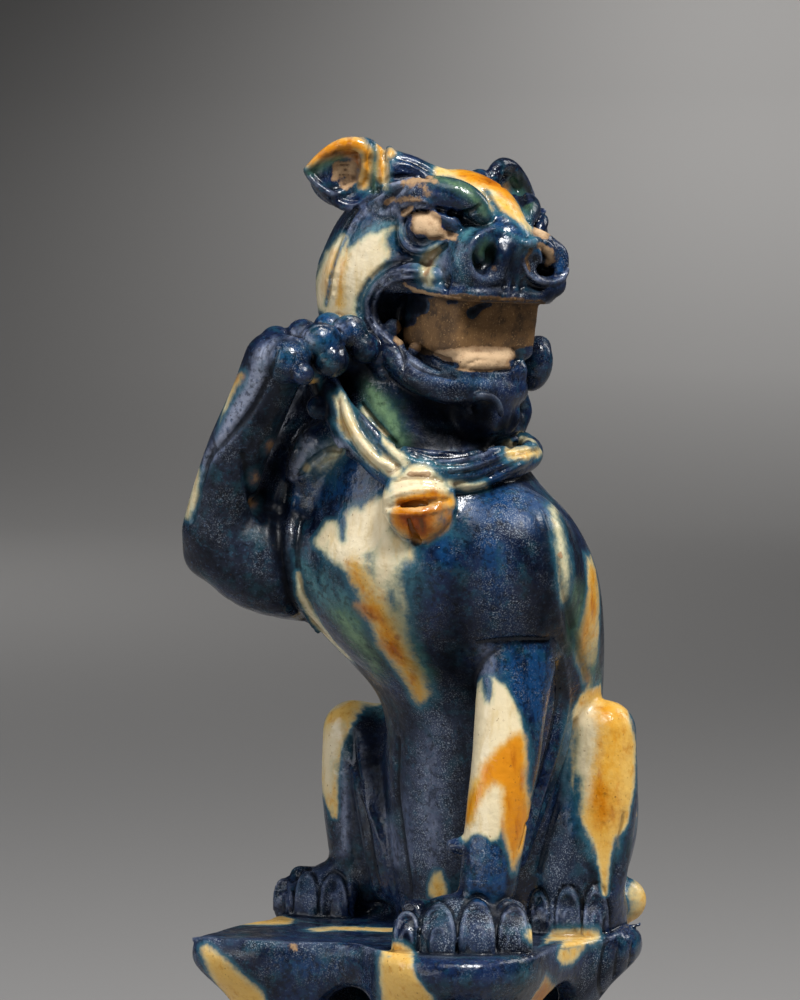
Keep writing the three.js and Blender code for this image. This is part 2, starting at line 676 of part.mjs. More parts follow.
function sculptHead(clay) {
  const add = (shape, blend) => clay.add(shape, HEAD, blend);
  const cut = (shape, blend) => clay.cut(shape, HEAD, blend);
  const faceWith = (across, down, near, radius) => [...face(across, down, near), radius];
  // Skull, forehead, cheeks and upper jaw
  add(ball([-5, 0, -1], [24.5, 23.5, 17]), 6);
  add(ball([6, 0, 1.5], [19, 17, 14.5]), 6);
  add(pair(ball([-5, 13, -12], [16, 10, 15])), 6);
  add(block([15, 0, -7.5], [16.5, 16.5, 9.5], 6), 4);
  // Mouth: a hollow between the jaws, with a plain wall of clay and the tongue in it
  cut(block([24.5, 0, -25.5], [26.5, 30, 9], 7), 2);
  add(block([2, 0, -25], [14, 8, 13], 2), 2);
  add(block([15, 0, -22], [9.5, 13.5, 10.5], 3, [0, 7, 0]), 1.5);
  add(block([9.5, -1, -34.5], [12, 12, 4], 2.5, [0, 14, 0]), 1.5);
  // Lower jaw and its lip
  add(ball([4, 0, -40], [15, 14, 8], [0, 6, 0]), 4);
  add(
    pair(
      tube([
        [-6, 21, -22, 3],
        [-2, 20.5, -28, 3.2],
        [7.5, 17, -36.5, 4],
        [14.5, 14.5, -40.3, 4],
        [19.5, 10.5, -41.6, 4],
        [22, 4, -41.6, 4],
        [22, 0, -41.6, 4],
      ]),
    ),
    1.5,
  );
  // Roll of lip round each corner of the mouth
  add(
    pair(
      tube([
        faceWith(437, 274, 27, 2.4),
        faceWith(412, 265, 23, 2.8),
        faceWith(388, 271, 18, 2.8),
        faceWith(369, 288, 13, 2.7),
        faceWith(362, 310, 11, 2.6),
        faceWith(372, 333, 12.5, 2.4),
      ]),
    ),
    1.2,
  );
  // Upper lip, fangs and molars
  add(
    pair(
      tube([
        [10, 18.5, -13.5, 2.3],
        [22, 17, -14.8, 2.4],
        [29, 13.5, -15.3, 2.4],
        [30.5, 6, -15.3, 2.4],
        [30.5, 0, -15.3, 2.4],
      ]),
    ),
    1.5,
  );
  add(pair(ball(face(423, 305, 18), [2.6, 2.2, 2.2])), 0.8);
  add(pair(ball(face(394, 328, 14), [2.8, 2.4, 2.4])), 0.8);
  add(pair(ball(face(418, 343, 20), [2.2, 2, 2.6])), 0.8);
  // Nose with scrolled nostrils
  add(tube([[8, 0, 7.5, 8.5], [19, 0, 5, 8], [27, 0, -1.5, 6.5]]), 4);
  add(ball([25, 0, -6], [6, 13, 6.8]), 3);
  add(pair(ball([26.5, 11.2, -8], [5.2, 6.6, 6.2])), 1.2);
  cut(pair(ball([32, 10.8, -8.4], [4.5, 3.4, 3.4])), 0.8);
  add(
    pair(
      tube([
        [29, 3, -1, 2],
        [31.5, 9, -2.4, 2],
        [31.2, 14.6, -4.5, 2],
        [30.6, 16.6, -9, 2.1],
        [31.4, 12.4, -13, 2],
        [32.4, 7.7, -11.5, 1.8],
        [32.8, 6.6, -8, 1.5],
        [32.4, 8.8, -6, 1.2],
      ]),
    ),
    0.7,
  );
  // Eyes under heavy brows; the left brow is the smaller one
  const brow = [
    faceWith(482, 213, 25.5, 2.8),
    faceWith(472, 203, 26, 3.8),
    faceWith(456, 196, 25.5, 4.5),
    faceWith(434, 192, 24, 4.4),
    faceWith(414, 191, 21, 3.9),
    faceWith(398, 195, 18, 3),
    faceWith(386, 203, 14.5, 2.2),
  ];
  add(tube(brow), 1.5);
  add(tube(brow.map(([ahead, left, up, radius]) => [ahead - 1.5, -left - 2, up - 2.6, 0.85 * radius])), 1.5);
  const eye = face(432, 229, 21.5);
  add(pair(ball([eye[0], -eye[1], eye[2]], [6.5, 7.2, 5.3], [0, 0, 50])), 1);
  add(
    pair(
      tube([
        faceWith(403, 221, 20, 1.3),
        faceWith(411, 211, 24, 1.7),
        faceWith(423, 208, 26.5, 1.9),
        faceWith(437, 211, 27.5, 2.1),
        faceWith(449, 219, 27.5, 2.1),
        faceWith(458, 230, 27, 1.6),
        faceWith(463, 238, 26.5, 1.1),
      ]),
    ),
    0.6,
  );
  add(
    pair(
      tube([
        faceWith(402, 222, 19.5, 1.1),
        faceWith(403, 235, 21, 1.3),
        faceWith(411, 245, 23, 1.4),
        faceWith(425, 248, 25, 1.4),
        faceWith(440, 243, 26, 1.3),
        faceWith(454, 239, 26.5, 1.1),
      ]),
    ),
    0.6,
  );
  // Cheek tufts and the beard under the chin
  add(ball([13, 21.5, -33.5], [5.5, 4.4, 7], [0, 20, 0]), 1.5);
  add(ball(face(483, 411, 22), [4.5, 4.5, 4]), 1.5);
  add(
    tube([
      faceWith(467, 411, 24, 1.2),
      faceWith(467, 401, 25, 1.4),
      faceWith(477, 395, 26, 1.5),
      faceWith(490, 397, 26, 1.5),
      faceWith(499, 405, 25, 1.4),
      faceWith(501, 414, 24, 1.2),
    ]),
    0.6,
  );
  add(tube([faceWith(512, 392, 8, 3.4), faceWith(517, 408, 6, 3.2), faceWith(514, 424, 6, 2.6)]), 1.5);
  add(ball(face(521, 407, -2), [3.8, 3.8, 4]), 1.5);
  add(ball(face(502, 428, 4), [6, 6, 8]), 2);
  // Crest of hair before the right ear
  add(tube([faceWith(386, 172, 8, 5.5), faceWith(404, 174, 8, 5.5), faceWith(430, 184, 8, 5)]), 3);
  sculptEar(clay, 1);
  sculptEar(clay, -1);
}

// A leaf-shaped ear, swept out and back from the head with its hollow to the front.
function sculptEar(clay, side) {
  const right = side > 0;
  const root = right ? [-4, -19, 14] : [-4, 19.5, 10.5];
  const frame = HEAD.clone()
    .multiply(new THREE.Matrix4().makeTranslation(...root))
    .multiply(new THREE.Matrix4().makeRotationZ(THREE.MathUtils.degToRad(right ? -40 : 12)));
  const out = -side;
  const across = (s, h, ahead, r) => [ahead, out * s, h, r];
  const rim = [
    across(19.5, 1.4, 0, 0.9),
    across(14.8, 5, 0.3, 1.6),
    across(9.5, 8, 0.6, 2),
    across(4.5, 8.6, 0.8, 2.2),
    across(1, 6, 1, 2.2),
    across(0.6, 1.5, 1, 2),
  ];
  const lower = [
    across(19.5, 0.6, 0, 0.9),
    across(15.5, -3.6, 0.2, 1.3),
    across(10.5, -7.3, 0.3, 1.4),
    across(5.5, -8, 0.4, 1.5),
    across(1.5, -5, 0.6, 1.6),
  ];
  clay.add(ball([-2, out * 9, 0], [3.6, 10, 8.4]), frame, 1.5);
  clay.add(tube(rim), frame, 0.8);
  clay.add(tube(lower), frame, 0.8);
  clay.cut(ball([1.8, out * 9, -0.5], [3.2, 6, 5.6]), frame, 0.8);
  clay.add(tube([across(-3, 4.5, -1, 3), across(-1.5, 0, -0.5, 3.4), across(-1, -5, 0, 2.6)]), frame, 1.5);
}

function sculptCollar(clay) {
  clay.add(collar, LION, 1);
  const bell = frameAt(seen(419, 501, 31), VIEW_TURN, 10, 0);
  clay.add(ball([0, 0, 0], BELL_RADII), bell, 0.8);
  clay.cut(tube([[5.4, -5, -1.5, 0.8], [6.6, -1, -1.5, 1.5], [5.8, 4, -1, 0.8]]), bell, 0.5);
  clay.cut(tube([[6.2, 0.5, -4, 0.6], [3.6, 0.8, -10, 1.8]]), bell, 0.5);
}

// Sculpting, simplifying, and the flat foot that the plinth stands on
const clay = new Clay([-66, -64, -4], [66, 66, PLINTH_HEIGHT + 222], SAMPLE);
sculptPlinth(clay);
sculptBody(clay);
sculptHead(clay);
sculptCollar(clay);
sculptArm(clay);
sculptPaws(clay);
const { place, faces } = simplify(outerShell(clay.surface()), FACETS);

const wasm = await Module();
wasm.setup();
const numbers = new Map();
const vertices = [];
for (const v of new Set(faces.flat())) {
  numbers.set(v, vertices.length / 3);
  vertices.push(...place[v]);
}
const solid = (vertProperties, triVerts) =>
  new wasm.Manifold(
    new wasm.Mesh({
      numProp: 3,
      vertProperties: new Float32Array(vertProperties),
      triVerts: new Uint32Array(triVerts),
    }),
  );
const figure = solid(vertices, faces.flat().map((v) => numbers.get(v)));

const below = new THREE.BoxGeometry(200, 200, 20).translate(0, 0, -10);
const boxCorners = [];
const boxFaces = Array.from(below.index.array, (i) => {
  const p = [0, 1, 2].map((c) => below.attributes.position.array[3 * i + c]);
  const found = boxCorners.findIndex((q) => q.every((v, c) => v === p[c]));
  return found < 0 ? boxCorners.push(p) - 1 : found;
});
const cut = figure.subtract(solid(boxCorners.flat(), boxFaces)).getMesh();

const geometry = new THREE.BufferGeometry()
  .setAttribute("position", new THREE.BufferAttribute(cut.vertProperties, 3))
  .setIndex(new THREE.BufferAttribute(cut.triVerts, 1));
geometry.translate(-MIDDLE[0], -MIDDLE[1], 0);
geometry.computeVertexNormals();
const glaze = new THREE.MeshStandardMaterial({ color: 0x16264f, roughness: 0.22, metalness: 0 });
const lion = new THREE.Mesh(geometry, glaze);
lion.name = "lion_on_plinth";

const part = new THREE.Group();
part.add(lion);
export default part;
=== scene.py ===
import bpy
import numpy as np
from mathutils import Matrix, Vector


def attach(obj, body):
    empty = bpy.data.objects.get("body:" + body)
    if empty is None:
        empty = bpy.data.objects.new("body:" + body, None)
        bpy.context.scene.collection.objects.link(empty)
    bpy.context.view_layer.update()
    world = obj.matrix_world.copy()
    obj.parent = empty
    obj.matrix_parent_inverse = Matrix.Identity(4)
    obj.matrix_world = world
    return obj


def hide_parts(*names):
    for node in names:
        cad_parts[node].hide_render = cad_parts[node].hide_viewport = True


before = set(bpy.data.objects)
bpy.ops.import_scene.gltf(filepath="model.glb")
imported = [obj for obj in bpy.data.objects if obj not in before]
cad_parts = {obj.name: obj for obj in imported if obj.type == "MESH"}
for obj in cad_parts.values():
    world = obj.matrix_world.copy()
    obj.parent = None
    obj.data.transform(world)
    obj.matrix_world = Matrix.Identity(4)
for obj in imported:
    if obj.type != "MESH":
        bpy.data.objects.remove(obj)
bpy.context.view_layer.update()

# ---- The clay ----------------------------------------------------------------------------------
# The whole figure is one fired body: moulded halves, limbs and plinth luted together with slip.
# It is held as a grid of distances to the surface, and each form is pressed into it with a fillet.
GRAIN = 0.66
CLAY_LOW, CLAY_HIGH = (-63.0, -56.0, -3.0), (60.0, 58.0, 285.0)
PLINTH_HEIGHT = 66.0
MIDDLE = (-1.57, 1.83)
VIEW_TURN, VIEW_RISE, VIEW_REACH, VIEW_STEP = 30.0, 4.0, 1800.0, 0.27


def turned(x, y, z):
    """The turn about x, then y, then z, in degrees, as a 3 x 3 matrix."""
    (a, b, c), (d, e, f) = np.cos(np.radians((x, y, z))), np.sin(np.radians((x, y, z)))
    about_x = np.array([[1, 0, 0], [0, a, -d], [0, d, a]])
    about_y = np.array([[b, 0, e], [0, 1, 0], [-e, 0, b]])
    about_z = np.array([[c, -f, 0], [f, c, 0], [0, 0, 1]])
    return about_z @ about_y @ about_x


def placed(place, turn=90.0, pitch=0.0, roll=0.0):
    """A frame whose x looks ahead, y to the left and z up, after a roll, a pitch and a turn."""
    matrix = np.eye(4)
    matrix[:3, :3] = turned(0, 0, turn - 90) @ turned(0, -pitch, 0) @ turned(roll, 0, 0)
    matrix[:3, 3] = place
    return matrix


GROUND = placed((0, 0, 0))
LION = placed((0, 0, PLINTH_HEIGHT))


def seen(across, down, near):
    """A point by its pixel in the 800 x 1000 view of the front left quarter and its depth.

    The pixel gives a ray from a viewer VIEW_REACH away, and near is the depth in mm towards that
    viewer from the upright line through the middle of the plinth.
    """
    turn, rise = np.radians((VIEW_TURN, VIEW_RISE))
    right, up = (across - 400) * VIEW_STEP, (500 - down) * VIEW_STEP
    s = (VIEW_REACH * np.cos(rise) - near) / (VIEW_REACH * np.cos(rise) + up * np.sin(rise))
    u = s * right - 4.3
    height = PLINTH_HEIGHT + 117 + VIEW_REACH * np.sin(rise) * (1 - s) + s * up * np.cos(rise)
    return (u * np.cos(turn) + near * np.sin(turn), u * np.sin(turn) - near * np.cos(turn), height)


def pixel(points):
    """The inverse of seen: pixel across, pixel down and depth of points, one row each."""
    turn, rise = np.radians((VIEW_TURN, VIEW_RISE))
    x, y, z = points.T
    u = x * np.cos(turn) + y * np.sin(turn) + 4.3
    near = x * np.sin(turn) - y * np.cos(turn)
    level = z - PLINTH_HEIGHT - 117
    ahead = VIEW_REACH - near * np.cos(rise) - level * np.sin(rise)
    up = level * np.cos(rise) - near * np.sin(rise)
    scale = VIEW_REACH / ahead / VIEW_STEP
    return 400 + u * scale, 500 - up * scale, near


def through(knots):
    """Smooth values through knots (t, v, ...): a cubic between neighbours with averaged slopes."""
    table = np.array(knots, float)
    t, v = table[:, 0], table[:, 1:]
    wide = np.r_[0, np.arange(len(t)), len(t) - 1]
    slope = (v[wide[2:]] - v[wide[:-2]]) / (t[wide[2:]] - t[wide[:-2]])[:, None]

    def at(s, c=0):
        i = np.clip(np.searchsorted(t, s, "right") - 1, 0, len(t) - 2)
        span = t[i + 1] - t[i]
        u = np.clip((s - t[i]) / span, 0, 1)
        return ((2 * u**3 - 3 * u**2 + 1) * v[i, c] + (u**3 - 2 * u**2 + u) * span * slope[i, c]
                + (3 * u**2 - 2 * u**3) * v[i + 1, c] + (u**3 - u**2) * span * slope[i + 1, c])

    return at


def rounded(a, b, blend):
    """The larger of two distances, with a rounded edge as wide as the blend."""
    near = np.maximum(blend - np.abs(a - b), 0)
    return np.maximum(a, b) + near**2 / (4 * blend)


class Form:
    """A shape as a box that holds it and a function for the distance to its surface."""

    def __init__(self, low, high, distance):
        self.low, self.high, self.distance = np.array(low, float), np.array(high, float), distance


def ball(centre, radii, turn=(0, 0, 0), home=LION):
    """An ellipsoid: k (k - 1) over the slope of k, with k the scaled distance from its middle."""
    axes = home[:3, :3] @ turned(*turn)
    middle = home[:3, :3] @ np.array(centre, float) + home[:3, 3]
    radii = np.array(radii, float)
    reach = np.sqrt(((axes * radii) ** 2).sum(1))

    def distance(*at):
        parts = [sum(np.float32(axes[c, a] / radii[a]) * (q - np.float32(middle[c]))
                     for c, q in enumerate(at)) for a in range(3)]
        k = np.sqrt(sum(p * p for p in parts))
        slope = np.sqrt(sum((p / np.float32(r)) ** 2 for p, r in zip(parts, radii)))
        return k * (k - 1) / np.maximum(slope, 1e-6)

    return Form(middle - reach, middle + reach, distance)


def block(centre, half, edge, turn=(0, 0, 0), home=LION):
    """A box with rounded edges: the distance to a smaller box, less the edge's radius."""
    axes = home[:3, :3] @ turned(*turn)
    middle = home[:3, :3] @ np.array(centre, float) + home[:3, 3]
    reach = np.abs(axes * np.array(half)).sum(1)

    def distance(*at):
        parts = [abs(sum(np.float32(axes[c, a]) * (q - np.float32(middle[c]))
                         for c, q in enumerate(at))) - (half[a] - edge) for a in range(3)]
        outside = np.sqrt(sum(np.maximum(p, 0) ** 2 for p in parts))
        return outside + np.minimum(np.maximum(np.maximum(*parts[:2]), parts[2]), 0) - edge

    return Form(middle - reach, middle + reach, distance)


def smooth_line(points, steps):
    """A curve through rows of numbers: each span is the cubic with half-difference tangents."""
    p = np.array(points, float)
    p = np.vstack([2 * p[0] - p[1], p, 2 * p[-1] - p[-2]])
    t = np.linspace(0, 1, steps, endpoint=False)[:, None]
    spans = [0.5 * (2 * b + (c - a) * t + (2 * a - 5 * b + 4 * c - d) * t**2
                    + (3 * b - a - 3 * c + d) * t**3) for a, b, c, d in zip(p, p[1:], p[2:], p[3:])]
    return np.vstack(spans + [p[-2:-1]])


def tube(points, home=LION, steps=4):
    """A round tube along a smooth line through points (x, y, z, radius)."""
    line = smooth_line(points, steps if len(points) > 2 else 1)
    spine = (line[:, :3] @ home[:3, :3].T + home[:3, 3]).astype(np.float32)
    radius = np.maximum(line[:, 3], 0.05).astype(np.float32)

    def distance(x, y, z):
        best = np.full(np.broadcast_shapes(x.shape, y.shape, z.shape), 10, np.float32)
        for a, b, ra, rb in zip(spine, spine[1:], radius, radius[1:]):
            margin = max(ra, rb) + 7
            low, high = np.minimum(a, b) - margin, np.maximum(a, b) + margin
            cut = [slice(*np.searchsorted(q.ravel(), (low[c], high[c]))) for c, q in enumerate((x, y, z))]
            part = best[cut[0], cut[1], cut[2]]
            if not part.size:
                continue
            px, py, pz = x[cut[0]] - a[0], y[:, cut[1]] - a[1], z[:, :, cut[2]] - a[2]
            ux, uy, uz = b - a
            along = (px * ux + py * uy + pz * uz) / (ux * ux + uy * uy + uz * uz + 1e-9)
            s = np.clip(along, 0, 1)
            gap = np.sqrt((px - s * ux) ** 2 + (py - s * uy) ** 2 + (pz - s * uz) ** 2)
            np.minimum(part, gap - ra - s * (rb - ra), out=part)
        return best

    reach = radius[:, None]
    return Form((spine - reach).min(0), (spine + reach).max(0), distance)


def web(spine, rim, thickness, home=GROUND):
    """A plate of even thickness spanned between two lines, as the distance to its triangles."""
    rows = [np.array(line, float) @ home[:3, :3].T + home[:3, 3] for line in (spine, rim)]
    quads = list(zip(rows[0], rows[0][1:], rows[1], rows[1][1:]))
    sheet = [tri for a, b, c, d in quads for tri in ((a, b, c), (b, d, c))]
    points = np.vstack(rows)

    def distance(x, y, z):
        def dot(p, q):
            return p[0] * q[0] + p[1] * q[1] + p[2] * q[2]

        best = np.float32(100)
        for tri in sheet:
            normal = np.cross(tri[1] - tri[0], tri[2] - tri[0])
            inside, rim_gap = True, np.float32(1e4)
            for a, b in zip(tri, (tri[1], tri[2], tri[0])):
                p = (x - np.float32(a[0]), y - np.float32(a[1]), z - np.float32(a[2]))
                edge = (b - a).astype(np.float32)
                s = np.clip(dot(p, edge) / dot(edge, edge), 0, 1)
                off = [q - s * e for q, e in zip(p, edge)]
                rim_gap = np.minimum(rim_gap, dot(off, off))
                inside = inside & (dot(p, np.cross(normal, edge).astype(np.float32)) >= 0)
            flat = dot(p, (normal / np.linalg.norm(normal)).astype(np.float32)) ** 2
            best = np.minimum(best, np.sqrt(np.where(inside, flat, rim_gap)))
        return best - thickness / 2

    return Form(points.min(0) - thickness / 2, points.max(0) + thickness / 2, distance)


class Clay:
    """The grid of distances, negative inside the clay."""

    def __init__(self, low, high, grain):
        self.low, self.grain = np.array(low), grain
        count = np.ceil((np.array(high) - low) / grain).astype(int) + 1
        self.axes = [(low[c] + grain * np.arange(n)).astype(np.float32) for c, n in enumerate(count)]
        self.values = np.full(count, 10, np.float32)

    def press(self, form, blend, is_cut=False):
        """Adds or cuts a form, with the fillet (blend - gap)^2 / (4 blend) where both are near."""
        reach = blend + 3 * self.grain
        cut = [slice(*np.searchsorted(axis, (form.low[c] - reach, form.high[c] + reach)))
               for c, axis in enumerate(self.axes)]
        x, y, z = (axis[part] for axis, part in zip(self.axes, cut))
        old = self.values[tuple(cut)]
        d = form.distance(x[:, None, None], y[None, :, None], z[None, None, :])
        d = np.broadcast_to(d, old.shape)
        near = np.maximum(blend - np.abs(old + d if is_cut else old - d), 0)
        fillet = near * near / (4 * blend)
        old[...] = np.maximum(old, -d) + fillet if is_cut else np.minimum(old, d) - fillet

    def add(self, form, blend=2.0):
        self.press(form, blend)

    def cut(self, form, blend=1.0):
        self.press(form, blend, True)

    def sample(self, points, values=None):
        """The grid's value at points, from the eight corners round each."""
        values = self.values if values is None else values
        at = np.clip((points - self.low) / self.grain, 0, np.array(values.shape) - 1.001)
        base = at.astype(int)
        f = at - base
        total = 0
        for corner in np.ndindex(2, 2, 2):
            weight = np.prod(np.where(corner, f, 1 - f), axis=1)
            total = total + weight * values[tuple((base + corner).T)]
        return total

    def slope(self, points, width):
        """The direction in which the distance grows, from differences across each point."""
        steps = np.eye(3) * width / 2
        rise = np.stack([self.sample(points + s) - self.sample(points - s) for s in steps], 1)
        return rise / np.maximum(np.linalg.norm(rise, axis=1, keepdims=True), 1e-9)

    def surface(self):
        """Points and quads of the zero surface: one point in each crossed cell, at the mean of
        its edge crossings, and one quad round each grid edge that the surface crosses."""
        v = self.values
        solid = v < 0
        cells = [slice(0, n - 1) for n in v.shape]
        count = np.zeros([n - 1 for n in v.shape], np.int8)
        for corner in np.ndindex(2, 2, 2):
            count += solid[tuple(slice(c, c + n - 1) for c, n in zip(corner, v.shape))]
        active = np.argwhere((count > 0) & (count < 8))
        corners = {c: v[tuple((active + c).T)] for c in np.ndindex(2, 2, 2)}
        total, hits = np.zeros((len(active), 3)), np.zeros(len(active))
        for a, va in corners.items():
            for axis in range(3):
                if a[axis]:
                    continue
                vb = corners[tuple(n + (i == axis) for i, n in enumerate(a))]
                cross = (va < 0) != (vb < 0)
                s = np.where(cross, va / np.where(cross, va - vb, 1), 0)
                place = np.tile(np.array(a, float), (len(active), 1))
                place[:, axis] += s
                total += place * cross[:, None]
                hits += cross
        points = self.low + self.grain * (active + total / hits[:, None])
        number = np.full(count.shape, -1, np.int32)
        number[tuple(active.T)] = np.arange(len(active))
        quads = []
        for axis in range(3):
            u, w = [c for c in range(3) if c != axis] if axis != 1 else (2, 0)
            ahead = [slice(None)] * 3
            behind = list(ahead)
            ahead[axis], behind[axis] = slice(1, None), slice(0, -1)
            edge = np.argwhere(solid[tuple(behind)] != solid[tuple(ahead)])
            edge = edge[(edge[:, u] > 0) & (edge[:, w] > 0)]
            enters = solid[tuple(edge.T)]
            round_edge = []
            for du, dw in ((1, 1), (0, 1), (0, 0), (1, 0)):
                cell = edge.copy()
                cell[:, u] -= du
                cell[:, w] -= dw
                round_edge.append(number[tuple(cell.T)])
            ring = np.stack(round_edge, 1)
            quads.append(np.where(enters[:, None], ring, ring[:, ::-1]))
        return points, np.vstack(quads)


clay = Clay(CLAY_LOW, CLAY_HIGH, GRAIN)

# ---- The plinth --------------------------------------------------------------------------------
# An uneven deck with four corner lobes on walls that pinch under the lobes and flare to the foot,
# with a hollow open below and an arched window through the middle of each side.
PLINTH_SIDE, PLINTH_WALL, DECK_THICKNESS = 46.0, 8.0, 9.0
WINDOW_WIDTH, WINDOW_SILL, WINDOW_TOP = 24.0, 10.0, 54.5
deck_radius = through([
    (-180, 48), (-150, 55), (-137, 61), (-122, 52), (-104, 38), (-84, 38), (-72, 47), (-56, 59),
    (-44, 61.5), (-30, 58), (-14, 50), (8, 49), (30, 60), (42, 61), (60, 52), (88, 44), (115, 50),
    (135, 60), (152, 56), (180, 48)])
side_waist = through([(0, 1.02), (8, 1), (26, 0.9), (42, 0.9), (50, 0.94), (59, 1), (66, 1)])
lobe_waist = through([(0, 0.7), (8, 0.62), (26, 0.34), (42, 0.4), (50, 0.62), (59, 1), (66, 1)])


def plinth_radius(x, y, z):
    """The side wall's radius and what the corner lobes add to it, each times its waist at z."""
    deck = deck_radius(np.degrees(np.arctan2(y, x)))
    side = np.minimum(deck, PLINTH_SIDE)
    return side * side_waist(z) + (deck - side) * lobe_waist(z)


def plinth_outside(x, y, z):
    """Distance beyond the plinth's radius, cut level at the deck and the ground."""
    side = 0.85 * (np.sqrt(x * x + y * y) - plinth_radius(x, y, z))
    middle = PLINTH_HEIGHT / 2 - 1.5
    return rounded(side, np.abs(z - middle) - PLINTH_HEIGHT / 2 - 1.5, 3)


def plinth_hollow(x, y, z):
    """The same outline drawn in by the wall, up to the deck's underside."""
    side = 0.85 * (np.sqrt(x * x + y * y) - plinth_radius(x, y, z) + PLINTH_WALL)
    return rounded(side, z - PLINTH_HEIGHT + DECK_THICKNESS, 8)


def window(axis):
    """A round-headed tunnel along the other axis: a half circle on straight sides."""
    half = WINDOW_WIDTH / 2
    low, high = [-64, -64, WINDOW_SILL], [64, 64, WINDOW_TOP]
    low[axis], high[axis] = -half, half

    def distance(*at):
        arch = np.sqrt(at[axis] ** 2 + np.maximum(at[2] - WINDOW_TOP + half, 0) ** 2) - half
        return rounded(arch, WINDOW_SILL - at[2], 12)

    return Form(low, high, distance)


clay.add(Form((-64, -64, -3), (64, 64, PLINTH_HEIGHT), plinth_outside), 1)
clay.cut(Form((-60, -60, -20), (60, 60, PLINTH_HEIGHT - DECK_THICKNESS), plinth_hollow), 3)
clay.cut(window(1), 3)
clay.cut(window(0), 3)

# ---- Trunk, haunches and standing foreleg ------------------------------------------------------
# Rows are height above the deck, middle x, middle y, half width and half depth.
trunk_at = through([
    (-6, 8, 25, 24, 22), (15, 8, 25, 27, 25), (40, 9, 25, 29, 27), (62, 10.5, 22.5, 31, 29),
    (84, 6, 12, 40.5, 37), (100, 4.5, 7, 42, 37.5), (112, 4.5, 4.5, 37, 33), (122, 3, 3, 29, 29),
    (135, -1, 3, 23.5, 24.5), (150, -4, 4, 21.5, 22.5), (165, -4.5, 4.5, 24.5, 24.5),
    (182, -4, 4.5, 25, 24.5), (200, 1, 4, 17, 17)])


def trunk(x, y, z):
    """Stacked ovals: the ellipse distance k (k - 1) over the slope of k at each height."""
    level = z - PLINTH_HEIGHT
    h = np.clip(level, -6, 196)
    wide, deep = trunk_at(h, 2), trunk_at(h, 3)
    a, b = (x - trunk_at(h, 0)) / wide, (y - trunk_at(h, 1)) / deep
    k = np.sqrt(a * a + b * b)
    side = k * (k - 1) / np.maximum(np.sqrt((a / wide) ** 2 + (b / deep) ** 2), 1e-6)
    return rounded(side * 0.9, np.maximum(level - 194, -6 - level), 6)


def seen_with(*rows):
    """Rows of pixel across, pixel down, depth and radius, as points with a radius."""
    return [(*seen(*row[:3]), row[3]) for row in rows]


clay.add(Form((-38, -32, PLINTH_HEIGHT - 6), (47, 53, PLINTH_HEIGHT + 196), trunk), 3)
clay.add(ball((27, 34, 26), (18, 19, 29)), 8)
clay.add(ball((-19, 34, 26), (18, 19, 29)), 8)
clay.add(tube([(43.5, 27, 54, 8.5), (43, 25, 34, 10.2), (39.5, 22, 12, 11.3)]), 3)
clay.add(tube([(-36, 28, 50, 8.5), (-35, 27, 32, 9), (-31, 26, 10, 9)]), 3)
clay.add(ball((33, 37, 34), (12, 14, 24), (0, 0, -20)), 6)
clay.add(ball((-27, 36, 34), (12, 15, 24), (0, 0, 20)), 6)
clay.add(tube(seen_with((508, 550, 19, 17), (516, 575, 20, 16), (520, 602, 20, 13)), GROUND), 4)
clay.add(tube(seen_with(
    (523, 622, 16, 11.5), (512, 700, 22, 9.7), (506, 760, 26, 9.1), (498, 810, 29, 8.4),
    (489, 880, 31, 7.8)), GROUND), 1)
clay.add(web(
    [seen(*p) for p in ((534, 650, 14), (536, 700, 16), (522, 760, 19), (510, 810, 21), (502, 870, 23))],
    [seen(*p) for p in ((570, 660, 4), (575, 696, 4), (562, 750, 7), (543, 800, 10), (520, 862, 16))],
    3.4), 1)
clay.add(tube(seen_with((466, 846, 30, 3), (453, 846, 30, 2)), GROUND), 1)
# Tail laid round the left haunch
clay.add(tube([(4, 45, 18, 5), (15, 46.5, 8, 4.5), (27, 46.5, 4.5, 4.5), (40.5, 43.5, 6, 6.3)]), 2)

# ---- Head --------------------------------------------------------------------------------------
# Moulded apart and turned to the lion's left: heavy brows, scrolled nostrils, an open mouth with
# a bare wall of clay between the jaws, tufts of beard and leaf-shaped ears.
HEAD = placed((6, 3.5, 255), 70, 0, -3)
into_head = np.linalg.inv(HEAD)


def face(*rows):
    """Rows of pixel across, pixel down, depth and radius, in the head's frame (ahead, left, up)."""
    return [(*(into_head[:3, :3] @ seen(*row[:3]) + into_head[:3, 3]), *row[3:]) for row in rows]


def head_tube(points, blend=1.0):
    clay.add(tube(points, HEAD), blend)


def other_side(points):
    return [(p[0], -p[1], *p[2:]) for p in points]


def both_tubes(points, blend=1.0):
    """A tube and its mirror image; one that ends on the middle line goes on into its mirror."""
    if abs(points[-1][1]) < 0.01:
        head_tube(points + other_side(points[-2::-1]), blend)
        return
    head_tube(points, blend)
    head_tube(other_side(points), blend)


def both_balls(centre, radii, turn=(0, 0, 0), blend=1.0, is_cut=False):
    for side in (1, -1):
        spin = (turn[0] * side, turn[1], turn[2] * side)
        form = ball((centre[0], centre[1] * side, centre[2]), radii, spin, HEAD)
        clay.press(form, blend, is_cut)


